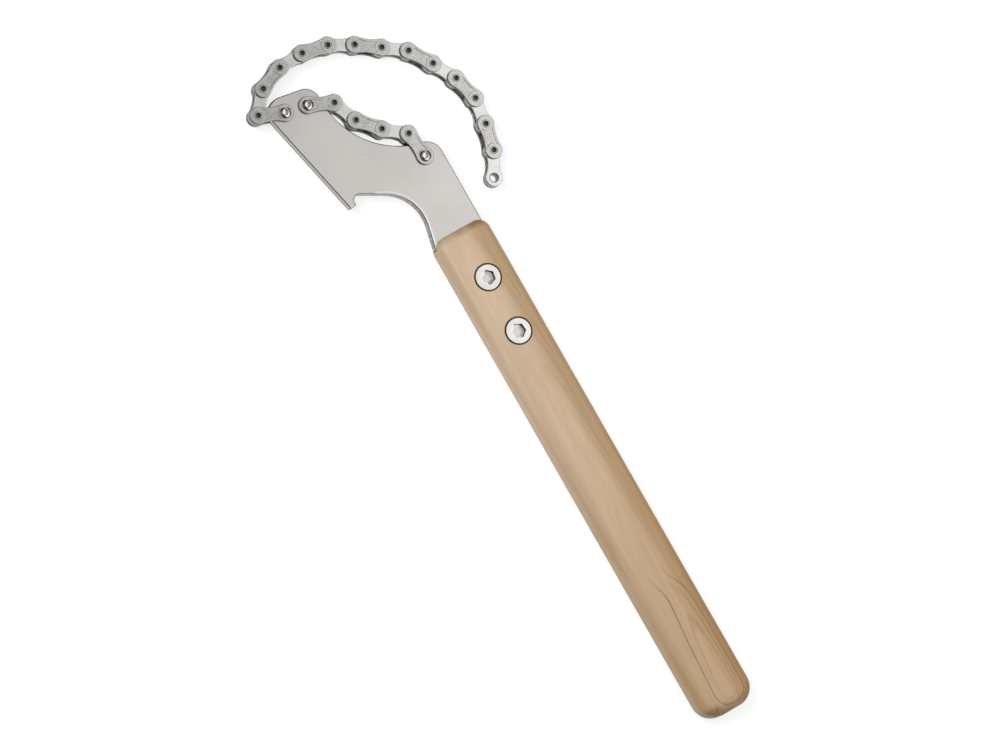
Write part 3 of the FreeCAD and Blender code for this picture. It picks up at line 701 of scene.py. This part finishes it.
SCREW_FINISH = (metal("bright screws", (0.64, 0.62, 0.6, 1), (0.92, 0.91, 0.89, 1),
                      0.22, 0.04, 0.05, edge=0.2, corner=2.2, cloud=120.0, wall=0.85,
                      deep=MID - 1.2 * MM, deep_colour=SOCKET_SHADE), "bright_steel")
WOOD_FINISH = (oiled_wood(), "handle_wood")


# Blade.

def meet(point_a, degrees_a, point_b, degrees_b):
    """Where two straight lines meet, each given by a point and a direction."""
    ax, ay = point_a
    bx, by = point_b
    cos_a, sin_a = math.cos(math.radians(degrees_a)), math.sin(math.radians(degrees_a))
    cos_b, sin_b = math.cos(math.radians(degrees_b)), math.sin(math.radians(degrees_b))
    along = ((bx - ax) * sin_b - (by - ay) * cos_b) / (cos_a * sin_b - sin_a * cos_b)
    return ax + along * cos_a, ay + along * sin_a


def away(point, distance, degrees):
    """The point at a distance from another in a direction."""
    turn = math.radians(degrees)
    return point[0] + distance * math.cos(turn), point[1] + distance * math.sin(turn)


def chain_spots():
    """The pin centres of the long and the short chain, each from its rivet on."""
    long_spots = [pivots["long_pivot_%02d" % (i + 1)] for i in range(14)]
    short_spots = [pivots["short_pivot_%d" % (i + 1)] for i in range(5)]
    far_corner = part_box("short_outer_plates_3")[1]
    short_end = Vector((far_corner.x - PLATE_EYE, far_corner.y - PLATE_EYE, MID))
    return long_spots + [mounts["chain_end_bore"]], short_spots + [short_end]


LONG_SPOTS, SHORT_SPOTS = chain_spots()
RIVET_SPOTS = (LONG_SPOTS[0], SHORT_SPOTS[0], SHORT_SPOTS[-1])
PITCH = (LONG_SPOTS[1] - LONG_SPOTS[0]).length


def blade_outline():
    """The blade's outline with its saddle, hook, arch and tang."""
    long_rivet, short_rivet, last_rivet = [
        (spot.x - FRONT, spot.y) for spot in RIVET_SPOTS]
    lug_centre = (last_rivet[0] + LUG_SHIFT, BLADE_SIDE - LUG_WIDE)
    lug_point = away(lug_centre, LUG_WIDE, LUG_SIDE_ANGLE + 90)
    lug = meet((0, BLADE_SIDE), 0, lug_point, LUG_SIDE_ANGLE)
    narrow_top = (short_rivet[0], short_rivet[1] + LUG_NARROW)
    saddle = meet(narrow_top, 0, lug_point, LUG_SIDE_ANGLE)
    side_point = away(short_rivet, HEAD_SIDE_OFFSET, HEAD_SIDE_ANGLE + 90)
    narrow = meet(narrow_top, 0, side_point, HEAD_SIDE_ANGLE)
    spine_point = away(long_rivet, SPINE_OFFSET, SPINE_ANGLE - 90)
    head = meet(spine_point, SPINE_ANGLE, side_point, HEAD_SIDE_ANGLE)
    hook = meet(spine_point, SPINE_ANGLE, BARB, HOOK_END_ANGLE)
    notch = meet(BARB, BARB_ANGLE, ARCH_SIDE, ARCH_SIDE_ANGLE)
    arch = meet(ARCH_SIDE, ARCH_SIDE_ANGLE, ARCH_LOW, -ARCH_LOW_ANGLE)
    heel = meet(ARCH_LOW, -ARCH_LOW_ANGLE, (HEEL_X, 0), 90)
    flat_run, steep_run = saddle[0] - short_rivet[0], math.dist(saddle, lug_point)
    half_bend = math.radians(180 - LUG_SIDE_ANGLE) / 2
    saddle_radius = (min(flat_run, steep_run) - SADDLE_STRAIGHT) * math.tan(half_bend)
    corners = [
        (TANG_END, BLADE_SIDE, 3 * MM), (*lug, LUG_WIDE), (*saddle, saddle_radius),
        (*narrow, LUG_NARROW), (*head, HEAD_CORNER), (*hook, HOOK_CORNER), (*BARB, BARB_CORNER),
        (*notch, NOTCH_RADIUS), (*arch, ARCH_RADIUS), (*heel, HEEL_CORNER),
        (HEEL_X, -TANG_LOW, SHOULDER_CORNER), (TANG_END, -TANG_LOW, 3 * MM),
    ]
    return [Vector((p.x + FRONT, p.y)) for p in rounded_loop(corners)]


def screw_spots():
    """The two screws' places along the handle."""
    return [(FRONT + SCREW_FIRST, 0.0), (FRONT + SCREW_FIRST + SCREW_SPACING, 0.0)]


def make_blade():
    half = BLADE_THICK / 2
    outline = blade_outline()
    walls = chamfered_walls(MID - half, MID + half, BLADE_CHAMFER, BLADE_EASE)
    plain = [(0.0, MID - half), (0.0, MID + half)]
    holes = [(circle(spot.x, spot.y, PIN_RADIUS - PIN_PLAY, 24), plain) for spot in RIVET_SPOTS]
    holes += [(circle(x, y, BARREL_RADIUS + BARREL_FIT), plain) for x, y in screw_spots()]
    solid = make_solid(outline, walls, holes)
    set_piece("satin_blade", [(solid, Matrix())], BLADE_FINISH, "tool", ["blade"])


# Handle.

def make_handle():
    half = HANDLE_WIDTH / 2
    outline = rounded_loop([
        (FRONT, -half, FRONT_CORNER), (FRONT + HANDLE_LENGTH, -half, BUTT_CORNER),
        (FRONT + HANDLE_LENGTH, half, BUTT_CORNER), (FRONT, half, FRONT_CORNER),
    ])
    walls = rounded_walls(0.0, HANDLE_THICK, HANDLE_EDGE, 12)
    deep = SCREW_HEAD_THICK + RECESS_REST
    soft = 0.25 * MM
    step = RECESS_RADIUS - BARREL_RADIUS - BARREL_FIT
    lower = [(step + soft, 0.0), (step + 0.3 * soft, 0.3 * soft), (step, soft), (step, deep),
             (0.0, deep)]
    upper = [(push, HANDLE_THICK - height) for push, height in reversed(lower)]
    holes = [(circle(x, y, BARREL_RADIUS + BARREL_FIT, 64), lower + upper)
             for x, y in screw_spots()]
    solid = make_solid(outline, walls, holes)
    handle = set_piece("oiled_handle", [(solid, Matrix())], WOOD_FINISH, "tool", ["handle"])
    carve_mortise(handle)


def carve_mortise(handle):
    """The slot that the tang and the heel fill, cut in from the front and open at one corner."""
    mouth, open_side = FRONT - 3 * MM, -HANDLE_WIDTH / 2 - 3 * MM
    low, high, end = -TANG_LOW - TANG_FIT, BLADE_SIDE + TANG_FIT, FRONT + TANG_END + TANG_FIT
    shoulder = FRONT + HEEL_X + TANG_FIT
    loop = [Vector(p) for p in ((mouth, open_side), (shoulder, open_side), (shoulder, low),
                                (end, low), (end, high), (mouth, high))]
    half = BLADE_THICK / 2 + TANG_FIT
    slot = bmesh.new()
    rings = [[slot.verts.new((p.x, p.y, MID + z)) for p in loop] for z in (-half, half)]
    for i in range(len(loop)):
        j = (i + 1) % len(loop)
        slot.faces.new((rings[0][i], rings[0][j], rings[1][j], rings[1][i]))
    slot.faces.new(rings[1])
    slot.faces.new(reversed(rings[0]))
    mesh = bpy.data.meshes.new("mortise")
    slot.to_mesh(mesh)
    slot.free()
    cutter = bpy.data.objects.new("mortise", mesh)
    bpy.context.scene.collection.objects.link(cutter)
    cut = handle.modifiers.new("mortise", "BOOLEAN")
    cut.object = cutter
    cut.solver = "EXACT"
    bpy.context.view_layer.update()
    graph = bpy.context.evaluated_depsgraph_get()
    carved = bpy.data.meshes.new_from_object(handle.evaluated_get(graph))
    handle.modifiers.remove(cut)
    set_normals(carved)
    handle.data = carved
    bpy.data.objects.remove(cutter)


# Screws, nuts and rivets.

def hexagon(x, y, turn):
    """A hexagon socket's outline with slightly rounded corners, turned in degrees from +X."""
    reach = HEX_FLATS / math.sqrt(3)
    turns = [math.radians(turn + 60 * i) for i in range(6)]
    return rounded_loop([(x + reach * math.cos(t), y + reach * math.sin(t), 0.25 * MM)
                         for t in turns])


def make_screws():
    shank = SCREW_SHANK - SCREW_HEAD
    head = rounded_walls(HEAD_UNDER, HEAD_TOP, HEAD_RIM)
    profile = [(shank, HEAD_UNDER - MID), (shank, HEAD_UNDER)] + head
    pit = SOCKET_MOUTH + [(0.0, HEAD_TOP - HEX_DEPTH),
                          (-1.2 * MM, HEAD_TOP - HEX_DEPTH - 0.35 * MM)]
    members = []
    for (x, y), turn in zip(screw_spots(), HEX_TURNS):
        socket = hexagon(x, y, turn)
        solid = make_solid(circle(x, y, SCREW_HEAD, 72), profile, pits=[(socket, pit)])
        members.append((solid, Matrix()))
    set_piece("socket_screws", members, SCREW_FINISH, "tool", ["screws"])


def make_barrel_nuts():
    """Barrel nuts, made upside down so that their sockets face up, and then turned over."""
    barrel = BARREL_RADIUS - SCREW_HEAD
    end = RECESS_REST / 2 + SCREW_HEAD_THICK + 0.4 * MM
    head = rounded_walls(HEAD_UNDER, HEAD_TOP, HEAD_RIM)
    bore = SCREW_SHANK + PIN_PLAY
    members = []
    for (x, y), turn in zip(screw_spots(), HEX_TURNS):
        nut = bmesh.new()
        first, last = add_walls(nut, circle(x, y, SCREW_HEAD, 72),
                                [(barrel, end), (barrel, HEAD_UNDER)] + head)
        mouth, bottom = add_walls(nut, circle(x, y, bore),
                                  [(0.0, end), (0.0, HEAD_UNDER)])
        socket = SOCKET_MOUTH + [(0.0, HEAD_TOP - NUT_HEX_DEPTH)]
        rim, floor = add_walls(nut, hexagon(x, y, turn), socket)
        for rings in ([first, mouth], [bottom], [last, rim], [floor]):
            close(nut, rings)
        bmesh.ops.recalc_face_normals(nut, faces=nut.faces)
        members.append((mirrored(nut), Matrix.Translation((0, 0, HANDLE_THICK))))
    set_piece("barrel_nuts_dressed", members, SCREW_FINISH, "tool", ["barrel_nuts"])


def make_rivets():
    """Domed rivets with a hollow centre; the last one's shank has play for the short chain."""
    rise = RIVET_HEAD_HEIGHT
    ball = (RIVET_HEAD ** 2 + rise ** 2) / (2 * rise)
    under = RIVET_TOP - rise
    full = math.asin(RIVET_HEAD / ball)
    inner = math.asin(RIVET_BOWL / ball)
    dome = []
    for i in range(11):
        lean = full + (inner - full) * i / 10
        dome.append((ball * math.sin(lean), RIVET_TOP - ball + ball * math.cos(lean)))
    edge = RIVET_TOP - ball + ball * math.cos(inner)
    floor = RIVET_TOP - RIVET_BOWL_DEPTH
    for i in range(1, 6):
        swing = math.radians(16 * i)
        dome.append((RIVET_BOWL * math.cos(swing), edge + (floor - edge) * math.sin(swing)))
    members = []
    for spot, play in zip(RIVET_SPOTS, (PIN_PLAY, PIN_PLAY, END_PLAY)):
        half = [(PIN_RADIUS - play, 0.0), (PIN_RADIUS - play, under)] + dome
        radii = [(r, -z) for r, z in reversed(half)] + half[1:]
        profile = [(r - RIVET_HEAD, z) for r, z in radii]
        solid = make_solid(circle(0, 0, RIVET_HEAD, 48), profile)
        members.append((solid, Matrix.Translation(spot)))
    set_piece("domed_rivets", members, BRIGHT_FINISH, "tool", ["rivets"])


# Chain.

def waist_radius(waist):
    """The radius of the hollow between a plate's two eyes."""
    return ((PITCH / 2) ** 2 + waist ** 2 - PLATE_EYE ** 2) / (2 * (PLATE_EYE - waist))


def plate_loop(waist):
    """Two round eyes joined by two hollow waists; the first eye is at the origin."""
    hollow = waist_radius(waist)
    lean = math.atan2(waist + hollow, PITCH / 2)
    middle, far = PITCH / 2, Vector((PITCH, 0))
    loop = arc(Vector((0, 0)), PLATE_EYE, lean, 2 * math.pi - lean)
    loop += arc(Vector((middle, -waist - hollow)), hollow, math.pi - lean, lean)[1:]
    loop += arc(far, PLATE_EYE, lean - math.pi, math.pi - lean)[1:]
    loop += arc(Vector((middle, waist + hollow)), hollow, -lean, lean - math.pi)[1:-1]
    return loop


def panel_loop():
    """The outline of the pressed panel: round at the eyes and hollow along the waists."""
    centre = OUTER_WAIST + waist_radius(OUTER_WAIST)
    bow = centre - PANEL_HALF
    span = math.hypot(PITCH / 2, centre)
    lean = math.asin((EYE_RIM ** 2 + span ** 2 - bow ** 2) / (2 * EYE_RIM * span))
    lean -= math.atan2(PITCH / 2, centre)
    reach = PITCH / 2 - EYE_RIM * math.cos(lean)
    turn = math.asin(reach / bow)
    middle, quarter = PITCH / 2, math.pi / 2
    loop = arc(Vector((0, 0)), EYE_RIM, lean, -lean)
    loop += arc(Vector((middle, -centre)), bow, quarter + turn, quarter - turn)[1:-1]
    loop += arc(Vector((PITCH, 0)), EYE_RIM, math.pi + lean, math.pi - lean)
    loop += arc(Vector((middle, centre)), bow, turn - quarter, -turn - quarter)[1:-1]
    return loop


def make_outer_pair():
    """The two outer plates of a link, with a shallow panel pressed in their outer faces."""
    bottom = OUTER_TOP - OUTER_PLATE
    walls = rounded_walls(bottom, OUTER_TOP, PLATE_RIM)
    soft = 0.08 * MM
    hole = [(0.0, bottom), (0.0, OUTER_TOP - soft), (soft, OUTER_TOP)]
    holes = [(circle(x, 0.0, PIN_RADIUS + 0.01 * MM, 36), hole) for x in (0.0, PITCH)]
    pit = [(0.1 * MM, OUTER_TOP), (0.0, OUTER_TOP - 0.06 * MM),
           (-0.1 * MM, OUTER_TOP - 0.15 * MM), (-0.25 * MM, OUTER_TOP - PANEL_DEPTH)]
    plate = make_solid(plate_loop(OUTER_WAIST), walls, holes, [(panel_loop(), pit)])
    return [plate, mirrored(plate)]


def make_inner_pair():
    """The two inner plates of a link, each with the two collars that carry its rollers."""
    bottom = INNER_TOP - INNER_PLATE
    walls = rounded_walls(bottom, INNER_TOP, PLATE_RIM)
    soft = 0.2 * MM
    bore = PIN_RADIUS + PIN_PLAY
    collar = COLLAR_RADIUS - bore
    hole = [(collar, bottom), (collar, COLLAR_GAP / 2), (0.0, COLLAR_GAP / 2),
            (0.0, INNER_TOP - soft), (0.35 * soft, INNER_TOP - 0.35 * soft), (soft, INNER_TOP)]
    holes = [(circle(x, 0.0, bore, 36), hole) for x in (0.0, PITCH)]
    plate = make_solid(plate_loop(INNER_WAIST), walls, holes)
    return [plate, mirrored(plate)]


def make_roller():
    half = ROLLER_WIDTH / 2
    walls = rounded_walls(-half, half, 0.2 * MM)
    bore = circle(0.0, 0.0, COLLAR_RADIUS + ROLLER_PLAY)
    rim = circle(0.0, 0.0, ROLLER_DIA / 2)
    return make_solid(rim, walls, [(bore, [(0.0, -half), (0.0, half)])])


def make_pin():
    """A pin with a softly rounded rim and a drilled end."""
    soft = 0.12 * MM
    half = [(PIN_RADIUS, 0.0), (PIN_RADIUS, PIN_END - soft),
            (PIN_RADIUS - 0.3 * soft, PIN_END - 0.3 * soft), (PIN_RADIUS - soft, PIN_END),
            (PIN_HOLE + soft, PIN_END), (PIN_HOLE, PIN_END - soft),
            (PIN_HOLE * 0.95, PIN_END - PIN_HOLE_DEPTH * 0.8),
            (PIN_HOLE * 0.3, PIN_END - PIN_HOLE_DEPTH)]
    radii = [(r, -z) for r, z in reversed(half)] + half[1:]
    return make_solid(circle(0, 0, PIN_RADIUS, 36), [(r - PIN_RADIUS, z) for r, z in radii])


def make_chain(name, spots, closed):
    """Every link, pin and roller of one chain, each riding on its own body."""
    outer, inner = make_outer_pair(), make_inner_pair()
    roller, pin = make_roller(), make_pin()
    last = len(spots) - 2
    link_body = "long_link_%02d" if name == "long" else "short_link_%d"
    for index in range(last + 1):
        start, end = spots[index], spots[index + 1]
        along = end - start
        place = Matrix.Translation(start) @ Matrix.Rotation(math.atan2(along.y, along.x), 4, "Z")
        number, body = index // 2 + 1, link_body % (index + 1)
        if index % 2:
            set_piece("%s_inner_link_%d" % (name, number), [(p, place) for p in inner],
                      INNER_FINISH, body, ["%s_inner_plates_%d" % (name, number)])
            for spot, count in ((start, index), (end, index + 1)):
                node = "%s_roller_%02d" % (name, count)
                set_piece(node + "_dressed", [(roller, Matrix.Translation(spot))],
                          ROLLER_FINISH, node, [node])
            continue
        set_piece("%s_outer_link_%d" % (name, number), [(p, place) for p in outer],
                  OUTER_FINISH, body, ["%s_outer_plates_%d" % (name, number)])
        riveted = [0] + ([last + 1] if closed else [])
        pinned = [spots[i] for i in (index, index + 1) if i not in riveted]
        set_piece("%s_link_pins_%d" % (name, number),
                  [(pin, Matrix.Translation(spot)) for spot in pinned],
                  PIN_FINISH, body, ["%s_pins_%d" % (name, number)])


# Studio: its levels of light, and distances in metres from the part's origin.

WHITE = (1, 1, 1, 1)
SOFT_LIGHT = 0.5
SKY_LEVEL = (0.54, 1.98)
SKY_SLOPE = (0.5, 0.87)
SKY_MIDDLE = (-0.12, 0.3)
SKY_SPAN = (-0.15, 0.28)
DARK_LEVEL = 0.03
DARK_RING = (0.34, 0.6)
FAR_LEVEL = 0.4
FAR_RING = (0.7, 1.0)
CURTAIN_ENDS = (0.6, 1.4)
FLOOR_REACH = 6.0
FLOOR_DROP = 0.2 * MM
FLOOR_COLOUR = (0.8, 0.8, 0.8, 1)


def set_camera():
    """A long lens, tilted to the side of the handle, with the handle across the picture."""
    side = Vector((0, math.cos(CAMERA_TILT), math.sin(CAMERA_TILT)))
    along = Vector((1, 0, 0))
    right = along * math.cos(HANDLE_TURN) + side * math.sin(HANDLE_TURN)
    up = side * math.cos(HANDLE_TURN) - along * math.sin(HANDLE_TURN)
    back = right.cross(up)
    data = bpy.data.cameras.new("camera")
    data.sensor_width = SENSOR_WIDTH
    data.lens = SENSOR_WIDTH * CAMERA_DISTANCE / VIEW_WIDTH
    data.clip_end = 50.0
    camera = bpy.data.objects.new("camera", data)
    bpy.context.scene.collection.objects.link(camera)
    turn = Matrix((right, up, back)).transposed().to_4x4()
    camera.matrix_world = Matrix.Translation(VIEW_CENTRE + back * CAMERA_DISTANCE) @ turn
    bpy.context.scene.camera = camera


def softbox(name, place, aim, width, power, mirrored_too=True):
    """A square lamp that faces a point; metal mirrors it only if asked."""
    data = bpy.data.lights.new(name, "AREA")
    data.size = width
    data.energy = power
    lamp = bpy.data.objects.new(name, data)
    bpy.context.scene.collection.objects.link(lamp)
    lamp.visible_glossy = mirrored_too
    lamp.location = place
    lamp.rotation_euler = (Vector(place) - Vector(aim)).to_track_quat("Z", "Y").to_euler()


def seen_directly(tree):
    """1 for what the camera, a reflection or clear glass sees, 0 for soft light."""
    path = tree.nodes.new("ShaderNodeLightPath")
    seen = maths(tree, "ADD", path.outputs["Is Camera Ray"], path.outputs["Is Glossy Ray"])
    return maths(tree, "ADD", seen, path.outputs["Is Transmission Ray"], clamp=True)


def set_world():
    """White where it is seen, and a plain level of soft light elsewhere."""
    world = bpy.data.worlds.new("studio")
    bpy.context.scene.world = world
    world.use_nodes = True
    tree = world.node_tree
    background = tree.nodes["Background"]
    background.inputs["Color"].default_value = WHITE
    seen = seen_directly(tree)
    strength = maths(tree, "ADD", maths(tree, "MULTIPLY", seen, 1 - SOFT_LIGHT), SOFT_LIGHT)
    tree.links.new(strength, background.inputs["Strength"])


def set_floor():
    """A white floor that keeps a faint shadow."""
    mesh = bpy.data.meshes.new("floor")
    reach = FLOOR_REACH
    mesh.from_pydata([(-reach, -reach, 0), (reach, -reach, 0), (reach, reach, 0),
                      (-reach, reach, 0)], [], [(0, 1, 2, 3)])
    floor = bpy.data.objects.new("floor", mesh)
    floor.location.z = -FLOOR_DROP
    bpy.context.scene.collection.objects.link(floor)
    material = bpy.data.materials.new("white floor")
    material.use_nodes = True
    tree = material.node_tree
    tree.nodes.remove(tree.nodes["Principled BSDF"])
    glossy = tree.nodes.new("ShaderNodeLightPath").outputs["Is Glossy Ray"]
    lit = add_node(tree, "BsdfDiffuse", Color=FLOOR_COLOUR)
    shade = add_node(tree, "BsdfDiffuse")
    slant = add_node(tree, "LayerWeight", Blend=0.5).outputs["Facing"]
    dim = remap(tree, slant, 0.35, 0.7, 1.0, 0.05)
    dim = mix(tree, glossy, WHITE, dim)
    bounce = maths(tree, "MULTIPLY", dim, maths(tree, "MULTIPLY_ADD", glossy, 0.5, 0.4))
    tree.links.new(bounce, shade.inputs["Color"])
    level = maths(tree, "MULTIPLY", dim, maths(tree, "MULTIPLY_ADD", glossy, -0.42, 0.72))
    glow = add_node(tree, "Emission", Color=WHITE, Strength=level)
    both = add_node(tree, "AddShader", i0=shade.outputs[0], i1=glow.outputs[0])
    choice = add_node(tree, "MixShader", i0=seen_directly(tree), i1=lit.outputs[0],
                      i2=both.outputs[0])
    tree.links.new(choice.outputs[0], tree.nodes["Material Output"].inputs["Surface"])
    mesh.materials.append(material)


def mirror_only(name, points, faces, level):
    """A glowing card that only reflections see; level gives its strength from its place."""
    mesh = bpy.data.meshes.new(name)
    mesh.from_pydata(points, [], faces)
    card = bpy.data.objects.new(name.replace(" ", "_"), mesh)
    bpy.context.scene.collection.objects.link(card)
    card.visible_camera = False
    card.visible_diffuse = False
    card.visible_shadow = False
    card.visible_transmission = False
    material = bpy.data.materials.new(name)
    material.use_nodes = True
    tree = material.node_tree
    tree.nodes.remove(tree.nodes["Principled BSDF"])
    place = tree.nodes.new("ShaderNodeNewGeometry").outputs["Position"]
    x, y = add_node(tree, "SeparateXYZ", Vector=place).outputs[:2]
    glow = add_node(tree, "Emission", Color=WHITE, Strength=level(tree, x, y))
    tree.links.new(glow.outputs[0], tree.nodes["Material Output"].inputs["Surface"])
    mesh.materials.append(material)


def overhead_level(tree, x, y):
    """Brighter towards the chains' free side, with a dark ring round it and dim far out."""
    slope = maths(tree, "MULTIPLY_ADD", x, SKY_SLOPE[0], maths(tree, "MULTIPLY", y, SKY_SLOPE[1]))
    level = remap(tree, slope, *SKY_SPAN, *SKY_LEVEL)
    across = maths(tree, "SUBTRACT", y, SKY_MIDDLE[1])
    along = maths(tree, "MULTIPLY", maths(tree, "SUBTRACT", x, SKY_MIDDLE[0]), 0.7)
    reach = distance(tree, along, across)
    near = maths(tree, "MULTIPLY", level, remap(tree, reach, *DARK_RING, 1.0, DARK_LEVEL))
    return maths(tree, "ADD", near, remap(tree, reach, *FAR_RING, 0.0, FAR_LEVEL))


def curtain_level(tree, x, y):
    """Dark along both sides of the tool, and light past its two ends."""
    return remap(tree, maths(tree, "ABSOLUTE", x), *CURTAIN_ENDS, DARK_LEVEL, 1.0)


def set_reflections():
    """What steel mirrors: a card overhead and a low curtain round the table."""
    height, radius, reach, steps = 0.5, 1.6, 1.7, 48
    card = [(-reach, -reach, height), (-reach, reach, height), (reach, reach, height),
            (reach, -reach, height)]
    mirror_only("overhead card", card, [(0, 1, 2, 3)], overhead_level)
    turns = [2 * math.pi * i / steps for i in range(steps)]
    ring = [(radius * math.cos(t), radius * math.sin(t)) for t in turns]
    points = [(x, y, 0.0) for x, y in ring] + [(x, y, height) for x, y in ring]
    faces = [(i, (i + 1) % steps, steps + (i + 1) % steps, steps + i) for i in range(steps)]
    mirror_only("low curtain", points, faces, curtain_level)


make_blade()
make_handle()
make_screws()
make_barrel_nuts()
make_rivets()
make_chain("long", LONG_SPOTS, closed=False)
make_chain("short", SHORT_SPOTS, closed=True)

set_camera()
set_world()
set_floor()
set_reflections()
softbox("key lamp", (-0.6, -0.6, 1.3), (-0.05, 0, 0), 0.7, 10.5)
softbox("side lamp", (0.1, 1.1, 0.3), (-0.02, 0, 0), 0.5, 3.0, mirrored_too=False)
softbox("top lamp", (0.0, 0.25, 0.85), (-0.03, 0.02, 0), 0.5, 0.4)
bpy.context.scene.view_settings.view_transform = "Standard"
